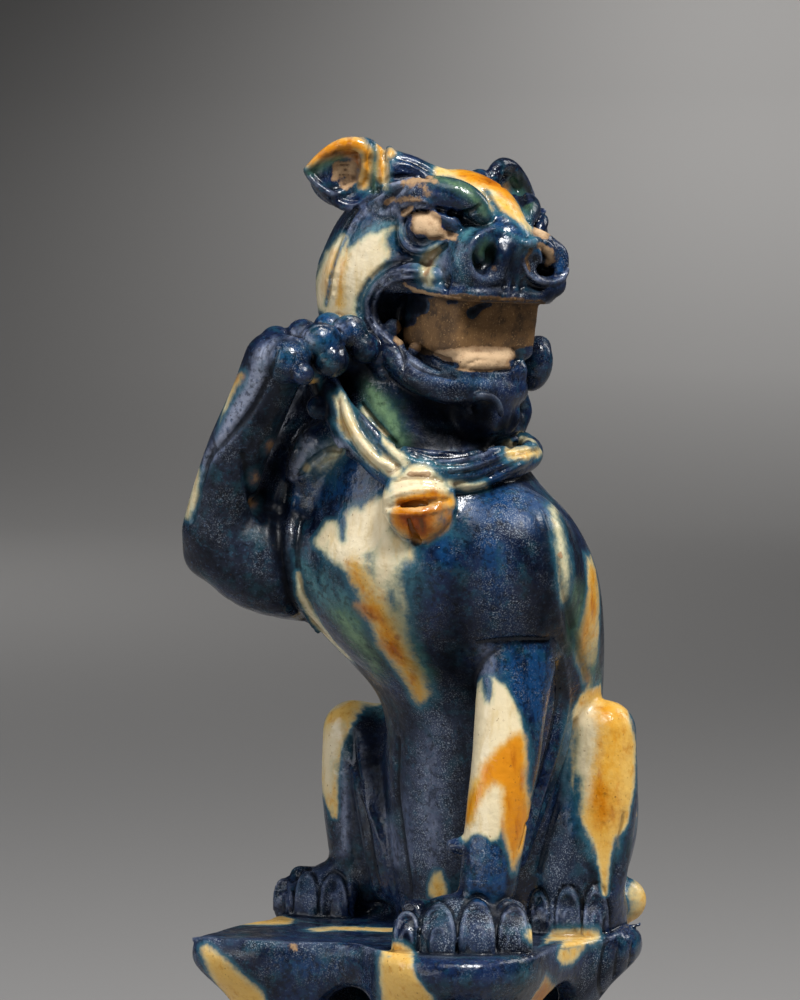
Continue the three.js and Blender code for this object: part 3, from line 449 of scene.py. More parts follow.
clay.add(ball((-5, 0, -1), (24.5, 23.5, 17), home=HEAD), 6)
clay.add(ball((6, 0, 1.5), (19, 17, 14.5), home=HEAD), 6)
both_balls((-5, 13, -12), (16, 10, 15), blend=6)
clay.add(block((15, 0, -7.5), (16.5, 16.5, 9.5), 6, home=HEAD), 4)
clay.cut(block((24.5, 0, -25.5), (26.5, 30, 9), 7, home=HEAD), 2)
clay.add(block((3, 0, -24), (13, 12.6, 12), 2, home=HEAD), 1.5)
clay.add(block((13.5, 0, -21.5), (12, 14.2, 10.5), 2.5, (0, 7, 0), HEAD), 1)
clay.add(block((12, 0, -36.5), (13, 12.5, 5.5), 3.5, (0, 9, 0), HEAD), 1.2)
clay.add(ball((4, 0, -40), (15, 14, 8), (0, 6, 0), HEAD), 4)
both_tubes([(-6, -21, -22, 3), (-2, -20.5, -28, 3.2), (7.5, -17, -36.5, 4), (14.5, -14.5, -40.3, 4),
            (19.5, -10.5, -41.6, 4), (22, -4, -41.6, 4), (22, 0, -41.6, 4)], 1.5)
both_tubes(face((434, 276, 26, 2.2), (412, 271, 21.5, 2.6), (390, 277, 16.5, 2.6), (372, 291, 12, 2.6),
                (366, 311, 10, 2.5), (375, 332, 11.5, 2.4), (396, 346, 15, 2.2)), 1.2)
both_tubes([(10, -17.5, -14, 1.9), (22, -16.2, -15.6, 1.9), (29, -13, -16, 1.9),
            (31, -6, -16, 2), (31, 0, -16, 2)], 1.5)
for row, radius in (((400, 288, 14), 1.6), ((393, 327, 13), 2.3), ((415, 348, 18.5), 1.7)):
    both_balls(face(row)[0], (radius, radius, radius), blend=0.8)
# Nose with scrolled nostrils: a bowl with a rim, and the nose's end curled down into it
head_tube([(8, 0, 7.5, 8.5), (19, 0, 5, 8), (27, 0, -1, 6.5)], 4)
clay.add(ball((25, 0, -6), (6, 13, 6.8), home=HEAD), 3)
both_balls((26.5, 11, -7.2), (5.4, 6.8, 6.6), blend=1.5)
both_balls((33, 10.8, -6.6), (5.8, 5.2, 5.2), blend=1.2, is_cut=True)
both_tubes([(28, -2, 1.2, 1.5), (29.8, -8.6, 1, 1.1), (29.8, -13.8, -1.4, 0.9), (29.6, -16, -6, 0.9),
            (30.2, -14.4, -10.6, 0.9), (31.2, -10.6, -12, 1), (32, -6.6, -11.2, 1.2)], 1.6)
both_tubes([(31, -2.2, -3, 2.4), (31.8, -5.2, -4.8, 2.2), (31.8, -6.2, -8.2, 1.9), (30.8, -8.4, -9.8, 1.4)], 1.8)
both_tubes([(29.4, -9.4, -1.6, 1.8), (28.8, -11.8, -3.6, 2), (28.8, -11, -6.4, 1.5)], 1.4)
# Eyes under heavy brows; the left brow is the smaller one
brow = face((482, 213, 25.5, 2.8), (472, 203, 26, 3.8), (456, 196, 25.5, 4.5), (434, 192, 24, 4.4),
            (414, 191, 21, 3.9), (398, 195, 18, 3), (386, 203, 14.5, 2.2))
head_tube(brow, 1.5)
head_tube([(a - 1.5, -l - 2, u - 2.6, 0.85 * r) for a, l, u, r in brow], 1.5)
head_tube(face((440, 219, 22, 2.4), (456, 221, 22.5, 2.6), (474, 220, 22.5, 2.6), (486, 214, 21, 2.2)), 1)
head_tube(face((398, 214, 18, 1.5), (410, 209, 20, 1.6), (430, 207, 23, 1.6), (440, 210, 24, 1.4)), 0.6)
eye = face((432, 229, 21.5))[0]
both_balls((eye[0], -eye[1], eye[2]), (6.8, 7.4, 5.6), (0, 0, 50), blend=0.8)
both_tubes(face((400, 221, 19, 0.8), (408, 211, 22.5, 0.9), (418, 206, 25, 1), (430, 206, 26.5, 0.9)), 0.4)
both_tubes(face((436, 213, 26, 1.6), (446, 217, 27, 1.9), (455, 225, 27, 1.7), (460, 234, 26.5, 1)), 0.8)
both_tubes(face((402, 222, 19.5, 0.8), (402, 235, 21, 1), (409, 246, 22.5, 1.1), (421, 250, 24.5, 1.1),
                (434, 246, 25.8, 1), (447, 240, 26.3, 0.9), (458, 238, 26.5, 0.8)), 0.4)
# Cheek tuft and the beard under the chin
clay.add(ball((13.5, 23, -34.5), (5.5, 4.6, 7.4), (0, 20, 0), HEAD), 1.5)
clay.add(ball((13.5, 24.5, -29.5), (3.4, 3.2, 3), home=HEAD), 1.2)
clay.add(ball(face((482, 413, 13))[0], (8, 8.5, 7.5), home=HEAD), 3)
head_tube(face((470, 413, 23, 0.9), (468, 403, 24, 1.1), (477, 397, 25, 1.2), (489, 397, 25, 1.2),
               (498, 404, 24, 1.1), (501, 414, 23, 0.9)), 0.6)
head_tube(face((506, 386, 12, 2), (509, 402, 11, 2.4), (512, 418, 11, 2.2), (505, 430, 13, 1.8)), 1)
head_tube(face((516, 386, 3, 2.2), (519, 400, 1, 2.8), (521, 412, 0, 3), (519, 426, 2, 2.2)), 1)
clay.add(ball(face((500, 426, 4))[0], (6, 6, 8), home=HEAD), 2)
# Crest of hair before the right ear
head_tube(face((386, 172, 8, 5.5), (404, 174, 8, 5.5), (430, 184, 8, 5)), 3)


def ear(root, turn, side):
    """A leaf swept out and back, its hollow to the front: a flat ball between two rims."""
    home = HEAD @ placed(root, 90 + turn)

    def across(*rows):
        return [(ahead, side * out, up, radius) for out, up, ahead, radius in rows]

    clay.add(ball((-2, side * 9, 0), (3.6, 10, 8.4), home=home), 1.5)
    clay.add(tube(across((19.5, 1.4, 0, 0.9), (14.8, 5, 0.3, 1.6), (9.5, 8, 0.6, 2), (4.5, 8.6, 0.8, 2.2),
                         (1, 6, 1, 2.2), (0.6, 1.5, 1, 2)), home), 0.8)
    clay.add(tube(across((19.5, 0.6, 0, 0.9), (15.5, -3.6, 0.2, 1.3), (10.5, -7.3, 0.3, 1.4),
                         (5.5, -8, 0.4, 1.5), (1.5, -5, 0.6, 1.6)), home), 0.8)
    clay.cut(ball((1.8, side * 9, -0.5), (3.2, 6, 5.6), home=home), 0.8)
    clay.add(tube(across((-3, 4.5, -1, 3), (-1.5, 0, -0.5, 3.4), (-1, -5, 0, 2.6)), home), 1.5)


ear((-4, -19, 14), -40, -1)
ear((-4, 19.5, 10.5), 12, 1)

# ---- Collar and bell ---------------------------------------------------------------------------
# A loop of cloth modelled in the clay: a broad strap on the lion's right that twists into three
# strands on its left, and a round pellet bell with slits at the throat.
COLLAR_RADIUS = 28.5
collar_strand = through([(-180, 6.2), (-90, 5), (-20, 3.9), (10, 4), (45, 5), (90, 6.1), (180, 6.2)])
collar_height = through([
    (-180, 151), (-135, 146), (-90, 138), (-45, 132.5), (0, 130), (20, 129.3), (45, 128), (65, 127),
    (90, 126.5), (110, 129), (135, 137), (150, 144), (165, 149), (180, 151)])


def collar(x, y, z):
    """A ring whose section is three strands that turn round its middle line, flat on the right."""
    x, y, level = x - 2.5, y - 1, z - PLINTH_HEIGHT
    angle = np.arctan2(0.5 * x - 0.866 * y, 0.866 * x + 0.5 * y)
    turn = np.degrees(angle)
    strap = np.clip((turn - 80) / 45, 0, 1)
    strap = strap * strap * (3 - 2 * strap)
    out = np.sqrt(x * x + y * y) - COLLAR_RADIUS
    slope = (collar_height(turn + 4) - collar_height(turn - 4)) / 8
    up = (level - collar_height(turn)) / np.sqrt(1 + (slope * 57.3 / COLLAR_RADIUS) ** 2)
    strands = np.abs(np.cos(1.5 * (np.arctan2(up, out) + 3 * angle)))
    thin = 1.2 + 0.7 * strap
    return 0.85 * (np.sqrt((out * thin) ** 2 + up * up) - collar_strand(turn) * (0.8 + 0.2 * strands))


clay.add(Form((-36, -38, PLINTH_HEIGHT + 110), (42, 40, PLINTH_HEIGHT + 166), collar), 1)
BELL = placed(seen(419, 501, 31), VIEW_TURN, 10)
clay.add(ball((0, 0, 0), (6, 9.8, 10.6), home=BELL), 0.8)
clay.cut(tube([(5.4, -5, -1.5, 0.8), (6.6, -1, -1.5, 1.5), (5.8, 4, -1, 0.8)], BELL), 0.5)
clay.cut(tube([(6.2, 0.5, -4, 0.6), (3.6, 0.8, -10, 1.8)], BELL), 0.5)

# ---- Raised foreleg and paws -------------------------------------------------------------------
# Upper arm, elbow, forearm with a fin of fur, the shoulder lock, and paws of four knuckled toes.
clay.add(tube(seen_with((322, 560, -7, 17.5), (265, 557, -4, 15), (222, 541, -1, 10.5)), GROUND), 3)
clay.add(ball(seen(207, 556, -1), (5.5, 5.5, 5.5), home=GROUND), 3)
clay.add(ball(seen(290, 478, -9), (10, 10, 28), (0, 12, 0), GROUND), 5)
clay.add(ball(seen(318, 470, -6), (12, 12, 20), home=GROUND), 5)
clay.add(tube(seen_with((216, 528, 2, 9), (222, 500, 4, 8.5), (238, 450, 9, 8.3), (260, 400, 14, 8.2),
                        (275, 362, 18, 8.4)), GROUND), 2)
clay.add(web([seen(*p) for p in ((224, 500, 0), (238, 450, 5), (255, 400, 10))],
             [seen(*p) for p in ((196, 505, -3), (211, 450, 1), (236, 392, 7))], 2.2), 1.5)
clay.add(tube(seen_with((336, 430, 6, 5), (318, 445, 5, 5.5), (303, 462, 4, 3.6), (294, 476, 2, 2)),
              GROUND), 2)
clay.add(ball(seen(319, 407, 15), (3.4, 3.4, 3.4), home=GROUND), 1)


def standing_paw(place, turn, width):
    """A low pad with four tall toes that fan out from the ankle."""
    home = placed((*place, PLINTH_HEIGHT), turn)
    clay.add(ball((-3, 0, 5), (13, width * 0.44, 9), home=home), 4)
    clay.add(ball((4, 0, 3), (11, width * 0.46, 8), home=home), 2)
    for spread in (-1, -1 / 3, 1 / 3, 1):
        side, ahead, radius = spread * width * 0.385, 12 - 3.5 * spread**2, width * 0.14
        clay.add(tube([(-2, side * 0.8, 8.6, radius * 0.8), (ahead * 0.4, side * 0.95, 9.2, radius * 0.85)],
                      home), 1)
        clay.add(tube([(ahead * 0.75, side, 6.2, radius), (ahead, side * 1.04, 3.6, radius * 0.95),
                       (ahead, side * 1.04, 0, radius * 0.95)], home), 0.8)


standing_paw((27.5, -22.5), 27, 35)
standing_paw((37, 24), -8, 25)
standing_paw((-40, 24), -8, 25)
clay.add(ball(seen(288, 352, 12), (8, 8, 6.5), (0, -20, 20), GROUND), 2)
clay.add(ball(seen(335, 350, 9), (11, 7, 6.5), (0, 0, 20), GROUND), 2)
clay.add(ball(seen(308, 362, 15), (6, 6, 6), home=GROUND), 2)
for knuckle, pad, tip in (
        ((276, 342, 17, 4.4), (288, 361, 24, 6.1), (303, 374, 27.5, 3)),
        ((303, 336, 16, 4.6), (320, 342, 22, 5.3), (331, 360, 23, 4.8)),
        ((329, 328, 12, 4.3), (350, 332, 17, 4.8), (364, 348, 17, 4.3)),
        ((371, 343, 12, 4), (381, 356, 13.5, 4.4), (386, 370, 13.5, 3.6))):
    for across, down, near, radius in (knuckle, pad, tip):
        clay.add(ball(seen(across, down, near), (radius, radius, radius), home=GROUND), 0.4)

# ---- Tool lines --------------------------------------------------------------------------------
# Folds, lids, combed hair and toe pads, pressed or laid on the leather-hard clay. Each line is
# given by pixels of the front left view and finds its own depth on the clay that it marks.


def depth_at(across, down):
    """The depth of the first clay behind pixels, from samples every half millimetre."""
    near = np.arange(48, -50, -0.5)
    at = np.stack(seen(np.array(across)[:, None], np.array(down)[:, None], near[None, :]), -1)
    inside = clay.sample(at.reshape(-1, 3)).reshape(at.shape[:2]) < 0
    first = np.argmax(inside, axis=1)
    return np.where(inside.any(1), near[first], np.nan)


def line_on_clay(rows, lift):
    """Rows of pixel across, pixel down and radius as points lifted off the clay, in mm."""
    rows = smooth_line(rows, 4)
    near = depth_at(rows[:, 0], rows[:, 1])
    known = ~np.isnan(near)
    near = np.interp(np.arange(len(rows)), np.flatnonzero(known), near[known])
    return [(*seen(a, d, n + lift * r), r) for (a, d, r), n in zip(rows, near)]


def ridge(*rows, lift=0.0, blend=0.5):
    clay.add(tube(line_on_clay(rows, lift), GROUND, 1), blend)


def groove(*rows, lift=0.3, blend=0.5):
    clay.cut(tube(line_on_clay(rows, lift), GROUND, 1), blend)


# Brow: the crevice under it, its scrolled tail, and the fold between it and the forehead
groove((434, 207, 0.6), (444, 211, 1), (458, 214, 1.2), (470, 212, 1.1), (480, 206, 0.7), lift=0)
groove((383, 207, 1.1), (388, 199, 1.5), (396, 191, 1.2), (403, 186, 0.6))
ridge((403, 183, 0.8), (391, 187, 1.1), (381, 195, 1.3), (376, 205, 1.3), (380, 213, 1.3),
      (390, 213, 1.2), (401, 206, 1.2), (413, 202, 1.2), (426, 201, 1.1), (436, 207, 0.9))
groove((402, 211, 0.9), (412, 206, 1), (424, 205, 0.8), lift=0)
groove((484, 190, 0.8), (491, 201, 1.2), (498, 211, 1.1))
groove((512, 180, 0.8), (520, 193, 1.2), (527, 212, 1.2), (529, 224, 0.8))
# Eye: the pool under the eyeball and the fold beside the lower lid
groove((411, 226, 0.5), (411, 236, 1), (418, 243, 1.3), (430, 241, 1.1), (441, 238, 0.6))
groove((397, 226, 0.5), (397, 240, 0.8), (406, 252, 0.8), (420, 256, 0.7), (434, 251, 0.5))
# Cheek: the fold before the muzzle, and the lips of the mouth's corner
groove((446, 246, 0.6), (432, 255, 1), (424, 268, 1.1), (424, 282, 0.8), lift=0.1, blend=1.2)
ridge((418, 271, 0.6), (403, 270, 0.8), (388, 275, 0.9), (374, 287, 0.9), (367, 303, 0.9), (371, 320, 0.9),
      (380, 334, 0.8), (394, 345, 0.7), lift=0.2)
ridge((414, 277, 0.6), (400, 277, 0.8), (387, 283, 0.8), (379, 293, 0.8), (375, 307, 0.8), (379, 322, 0.7),
      (388, 335, 0.7), lift=0.2)
groove((424, 262, 0.7), (405, 261, 1), (386, 267, 1.1), (369, 281, 1.1), (359, 298, 1), (357, 316, 0.8))
# Muzzle: the nostril's outer fold and the pleats of the upper lip
groove((505, 281, 0.5), (504, 290, 0.7), (503, 298, 0.5))
groove((513, 280, 0.5), (513, 290, 0.7), (512, 298, 0.5))
groove((522, 281, 0.5), (521, 290, 0.7), (520, 298, 0.5))
groove((450, 276, 0.5), (447, 286, 0.8), (446, 293, 0.5))
# Left nostril: the far wing, its ring, and the nose's end that curls down into its hollow
ridge((549, 246, 1.4), (558, 252, 2.3), (560, 263, 2.4), (558, 274, 2.2), (556, 286, 2.6), (548, 292, 2), blend=1.5)
groove((536, 258, 1), (540, 268, 1.8), (550, 272, 1.2), lift=0.2)
ridge((524, 244, 1.2), (536, 242, 1.7), (547, 247, 1.8), (552, 256, 1.6), (548, 265, 1), lift=0.3)
ridge((526, 252, 0.6), (523, 262, 0.8), (529, 275, 0.9), (545, 283, 0.9), (561, 280, 0.9), (568, 270, 0.6), lift=0.3)
# Nape: a seam that runs from the ear's root down the edge of the mane
groove((378, 195, 0.8), (358, 210, 1.2), (346, 228, 1.2), (337, 250, 1.1), (331, 272, 1.1), (327, 300, 0.8))
ridge((384, 196, 0.8), (364, 211, 1.1), (352, 229, 1.1), (343, 250, 1.1), (337, 272, 1), (334, 296, 0.8),
      lift=-0.2)
# Right ear: rim, combed hollow and the folds at its root
clay.cut(ball(seen(341, 171, -2), (3, 4.6, 4), (0, 0, 30), GROUND), 1)
ridge((306, 170, 0.8), (320, 157, 1.2), (335, 147, 1.5), (350, 143, 1.8), (363, 147, 2), (367, 158, 1.8),
      (366, 170, 1.5), (361, 181, 1), lift=0.3)
ridge((308, 176, 0.6), (320, 187, 1), (333, 195, 1.2), (345, 191, 1.2), (355, 184, 0.9), lift=0.2)
groove((371, 143, 0.8), (371, 160, 1), (371, 178, 1), (372, 192, 0.6), lift=0)
groove((377, 144, 0.9), (376, 160, 1.3), (377, 178, 1.2), (378, 190, 0.8), lift=0)
groove((385, 150, 0.8), (385, 165, 1.2), (386, 182, 0.9), lift=0)
ridge((389, 148, 0.8), (391, 153, 1.4), (389, 159, 0.8))
for step in range(6):
    down = 160 + 4.6 * step
    groove((334 + step, down, 0.2), (345, down + 0.5, 0.35), (354, down - 1, 0.25), lift=0.5, blend=0.2)
# Crest: combed locks that slant down to the brow
groove((396, 158, 0.4), (412, 161, 0.8), (425, 168, 0.8), (436, 175, 0.5))
groove((400, 168, 0.4), (412, 171, 0.7), (424, 177, 0.6))
groove((388, 178, 0.5), (402, 176, 0.8), (414, 176, 0.7), (428, 178, 0.5))
# Left ear: combed back
for shift in range(4):
    groove((489 + 8 * shift, 176 - 2 * shift, 0.2), (495 + 8 * shift, 168, 0.35),
           (499 + 7 * shift, 175, 0.4), (502 + 6 * shift, 187, 0.3), lift=0.5)
# Jaw: the lip's upper edge along the bare tongue and the roll below it
groove((424, 349, 0.5), (436, 356, 0.8), (452, 363, 0.8), (470, 369, 0.8), (495, 370, 0.8), (512, 369, 0.7),
       (518, 357, 0.6), (512, 348, 0.4), lift=0.2)
ridge((462, 360, 2.2), (482, 361, 2.4), (503, 359, 2.2), lift=-0.2, blend=1.2)
groove((468, 364, 0.3), (480, 360, 0.45), (494, 361, 0.3), lift=0.5, blend=0.4)
groove((402, 352, 0.5), (412, 362, 0.9), (424, 369, 1), (440, 374, 0.8), (455, 378, 0.5), blend=1)
groove((398, 344, 0.5), (404, 356, 0.7), (404, 370, 0.6))
ridge((430, 395, 0.5), (446, 399, 0.8), (464, 399, 0.8), (482, 394, 0.6), lift=-0.3)
# Collar: folds of the strap and the twisted strands
groove((349, 398, 0.7), (354, 414, 1.2), (364, 434, 1.4), (380, 452, 1.2), (398, 466, 0.7), blend=1)
groove((338, 400, 0.5), (342, 424, 0.9), (356, 450, 1), (378, 472, 0.7))
groove((362, 405, 0.5), (376, 424, 0.8), (394, 443, 0.9), (416, 456, 0.9), (436, 460, 0.5))
ridge((344, 396, 0.8), (348, 416, 1.1), (358, 436, 1.1), (376, 458, 1), (392, 468, 0.7), lift=-0.1)
for row in (((410, 450, 0.4), (436, 456, 0.8), (468, 454, 0.9), (497, 444, 0.9), (519, 435, 0.8), (536, 434, 0.5)),
            ((436, 464, 0.5), (462, 463, 0.9), (488, 456, 1), (510, 446, 0.9), (534, 444, 0.5)),
            ((450, 474, 0.5), (474, 471, 0.9), (498, 462, 1), (518, 453, 0.9), (538, 451, 0.5)),
            ((456, 483, 0.5), (480, 480, 0.9), (502, 470, 0.9), (524, 460, 0.6))):
    groove(*row, lift=0.2)
# Bell: two raised bands over the slit, and the split below it
groove((392, 482, 0.4), (408, 477, 0.8), (430, 477, 0.8), (444, 482, 0.4))
ridge((385, 500, 0.5), (400, 493, 0.8), (425, 490, 0.8), (453, 492, 0.5), lift=0.1)
ridge((384, 512, 0.5), (402, 514, 0.8), (428, 512, 0.8), (454, 505, 0.5), lift=0.1)
groove((388, 507, 0.5), (404, 504, 1), (428, 502, 0.9), (450, 499, 0.5))
groove((404, 506, 0.8), (415, 505, 1.5), (426, 505, 0.8), lift=-0.8)
groove((409, 519, 0.5), (412, 530, 0.9), (417, 541, 1.3), lift=-0.4)
# Chest: the shoulder lock, and the fold where the raised arm leaves the chest
groove((348, 452, 0.8), (330, 450, 1.1), (312, 462, 1.2), (298, 477, 0.8), lift=0.1)
ridge((302, 430, 0.6), (297, 448, 1), (291, 466, 0.9), (288, 478, 0.5), lift=-0.1)
ridge((344, 462, 0.6), (328, 466, 1), (312, 476, 1), (292, 480, 0.6), lift=-0.1)
groove((286, 486, 1.2), (280, 520, 1.8), (282, 560, 2), (290, 596, 1.8), (304, 622, 1.2), lift=0.2, blend=2)
ridge((296, 500, 0.8), (289, 530, 1.1), (290, 566, 1.2), (299, 600, 1.1), (318, 632, 0.8), lift=-0.3, blend=1)
groove((301, 520, 0.6), (297, 550, 0.9), (300, 580, 0.9), (312, 610, 0.6), blend=1)
groove((303, 612, 0.5), (322, 634, 0.9), (346, 660, 0.9), (366, 690, 0.5), blend=1)
# Raised arm: the bevel along its outer edge and the fin's edge
groove((277, 350, 0.6), (265, 384, 1), (250, 412, 1), (226, 440, 1), (210, 456, 1), (203, 480, 0.7), blend=1)
groove((243, 455, 0.8), (249, 480, 1.6), (254, 505, 1.4), (262, 520, 0.8), lift=0.3, blend=1.5)
groove((214, 446, 0.5), (206, 466, 0.8), (199, 490, 0.8), (192, 520, 0.6), blend=1)
# Flank: the seam behind the shoulder, and the leg's upper edge
ridge((540, 512, 0.6), (548, 545, 1), (552, 580, 1.1), (556, 612, 1.1), (564, 642, 0.8), lift=-0.3, blend=1.5)
groove((560, 560, 0.5), (564, 590, 0.8), (570, 620, 0.9), (578, 650, 0.9), (586, 680, 0.6), blend=1.5)
groove((478, 643, 0.7), (500, 641, 1.1), (525, 640, 1.1), (548, 640, 0.7), lift=0.2, blend=1)
ridge((552, 640, 0.7), (562, 660, 1), (567, 700, 1), (556, 750, 1), (540, 800, 0.9), (526, 850, 0.7), lift=-0.2)
groove((556, 660, 0.5), (558, 700, 0.9), (548, 750, 0.9), (533, 800, 0.8), (520, 850, 0.5))
# Right hind leg: the inner thigh and its folds
ridge((368, 735, 6), (378, 780, 7), (386, 830, 7), (392, 880, 6), lift=-0.72, blend=3)
groove((352, 735, 0.8), (354, 770, 1.4), (364, 815, 1.4), (372, 860, 1.1), (380, 895, 0.7), blend=1.5)
ridge((343, 735, 0.6), (345, 770, 1), (348, 815, 1), (350, 860, 0.7), lift=-0.2, blend=1)
ridge((358, 775, 0.6), (372, 815, 1), (384, 850, 1), (396, 900, 0.7), lift=-0.1, blend=1)
groove((398, 740, 0.8), (396, 790, 1.3), (402, 840, 1.3), (410, 890, 0.8), blend=1.5)
# Left hind leg: the facet beside the shin
groove((576, 722, 0.6), (568, 760, 1), (560, 800, 1.1), (548, 840, 1), (540, 870, 0.6), blend=1.5)
groove((624, 815, 0.4), (619, 845, 0.7), (611, 890, 0.5), blend=1.5)


def toe(left, right, top, foot, radius):
    """A pad edged by a raised arch, with a crease on both sides."""
    wide, tall = right - left, foot - top
    arch = [(0.02, 1), (0.04, 0.55), (0.2, 0.14), (0.5, 0), (0.8, 0.14), (0.96, 0.55), (0.98, 1)]
    groove(*((left + wide * (0.5 + 1.12 * (a - 0.5)), foot - tall * (1 - d) * 1.13, 0.9 * radius)
             for a, d in arch))
    ridge(*((left + wide * (0.5 + 0.86 * (a - 0.5)), foot - tall * (1 - d) * 0.94, radius) for a, d in arch),
          lift=0.1)
    ridge(*((left + wide * (0.5 + 0.4 * (a - 0.5)), foot - tall * (1 - d) * 0.5, 0.7 * radius)
            for a, d in arch), lift=0)


# Toe pads: left, right, top and foot in pixels, and the radius of the arch in mm
PADS = ((394, 420, 912, 946, 0.9), (421, 456, 905, 951, 1), (459, 495, 902, 951, 1), (498, 529, 906, 948, 0.9),
        (531, 548, 893, 922, 0.6), (555, 581, 890, 928, 0.7), (583, 609, 889, 932, 0.7),
        (273, 294, 878, 909, 0.6), (295, 318, 873, 911, 0.7), (320, 348, 876, 913, 0.7))
for pad in PADS:
    toe(*pad)
# Raised paw: rims round the toe pads
ridge((267, 374, 0.6), (265, 356, 0.8), (273, 343, 0.8), (288, 338, 0.8), (303, 344, 0.8), (310, 358, 0.6), lift=0.4)
ridge((306, 350, 0.5), (308, 334, 0.7), (320, 326, 0.7), (335, 331, 0.8), (342, 345, 0.8), (343, 368, 0.6), lift=0.4)
ridge((332, 332, 0.5), (340, 321, 0.6), (353, 317, 0.6), (364, 325, 0.6), (367, 338, 0.5), lift=0.4)
# Plinth: the deck's rim and the ribs of the right side
ridge((194, 939, 0.6), (215, 941, 0.9), (290, 945, 0.9), (352, 946, 0.9), (374, 952, 0.9), (405, 958, 0.9),
      (460, 962, 0.9), (530, 958, 0.9), (556, 948, 0.9), (600, 942, 0.9), (625, 930, 0.8), (640, 924, 0.5),
      lift=-0.2, blend=1)
for across in (602, 617, 630):
    groove((across + 4, 940, 0.5), (across, 965, 0.9), (across - 2, 985, 0.9), (across + 1, 998, 0.7), blend=1)
# Back of the head: strands of the mane, combed down from the crown round the skull
SKULL = np.array((24.5, 23.5, 19.0))
for strand in range(11):
    rise = np.radians(np.linspace(62, -40, 9))
    turn = np.radians(132 + 9.6 * strand + 5 * np.sin(2.2 * rise + strand))
    line = np.stack((np.cos(turn) * np.cos(rise), np.sin(turn) * np.cos(rise), np.sin(rise)), 1) * SKULL - (5, 0, 2)
    line = line @ HEAD[:3, :3].T + HEAD[:3, 3]
    for _ in range(6):
        line -= clay.sample(line)[:, None] * clay.slope(line, GRAIN)
    clay.cut(tube([(*point, 0.75 - 0.4 * abs(k - 4) / 4) for k, point in enumerate(line)], GROUND, 1), 0.8)

# ---- From clay to mesh -------------------------------------------------------------------------
# The foot is cut level, the surface is drawn over the grid and thinned where it is plain, and the
# normals come from the clay itself, so that the glaze shines evenly.
FACETS = 196_000
level = clay.axes[2][None, None, :]
np.maximum(clay.values, -level, out=clay.values)
points, quads = clay.surface()
for _ in range(2):
    offset = clay.sample(points)
    points -= np.clip(offset, -0.3, 0.3)[:, None] * clay.slope(points, GRAIN)
rough = bpy.data.meshes.new("rough")
rough.from_pydata([], [], [])
rough.vertices.add(len(points))
rough.vertices.foreach_set("co", points.astype(np.float32).ravel())
rough.loops.add(quads.size)
rough.loops.foreach_set("vertex_index", quads.astype(np.int32).ravel())
rough.polygons.add(len(quads))
rough.polygons.foreach_set("loop_start", np.arange(0, quads.size, 4, dtype=np.int32))
rough.update(calc_edges=True)
lion = bpy.data.objects.new("lion", rough)
bpy.context.collection.objects.link(lion)
# The seen side keeps an even grain for the glaze's edges, finest on the head, collar and bell
turn, rise = np.radians((VIEW_TURN, VIEW_RISE))
toward = np.array((np.cos(rise) * np.sin(turn), -np.cos(rise) * np.cos(turn), np.sin(rise)))
care = (clay.slope(points, 2 * GRAIN) @ toward > -0.2).astype(int)
care[(care > 0) & (pixel(points)[1] < 545)] = 2
plain = lion.vertex_groups.new(name="plain")
for level, weight in enumerate((1.0, 0.55, 0.0)):
    plain.add(np.flatnonzero(care == level).tolist(), weight, "REPLACE")
thin = lion.modifiers.new("thin", "DECIMATE")
thin.vertex_group, thin.vertex_group_factor = "plain", 0.03
thin.use_collapse_triangulate = True
thin.ratio = FACETS / (2 * len(quads))
mesh = bpy.data.meshes.new_from_object(lion.evaluated_get(bpy.context.evaluated_depsgraph_get()))
lion.modifiers.clear()
lion.vertex_groups.clear()
lion.data = mesh
mesh.name = "lion"
bpy.data.meshes.remove(rough)

points = np.empty(3 * len(mesh.vertices), np.float32)
mesh.vertices.foreach_get("co", points)
points = points.reshape(-1, 3).astype(float)
normals = clay.slope(points, 1.2 * GRAIN)
placed_points = (points - (*MIDDLE, 0)) / 1000
mesh.vertices.foreach_set("co", placed_points.astype(np.float32).ravel())
mesh.polygons.foreach_set("use_smooth", np.ones(len(mesh.polygons), bool))
mesh.update()
mesh.normals_split_custom_set_from_vertices(normals)

# ---- Where each glaze lies ---------------------------------------------------------------------
# The coloured lead glazes were dabbed on with a brush and ran in the fire. Each dab is a stroke of
# pixels in the front left view, kept on the mesh as the distance in mm to the glaze's edge.
FAR = 6.0
GLAZES = ("cobalt", "slate", "teal", "lavender", "black", "cream", "honey", "amber", "rust", "green",
          "bisque", "bare", "frost")
dabs = {name: np.full(len(points), FAR) for name in GLAZES}
across, down, near = pixel(points)
on_view = np.stack((across, down), 1)


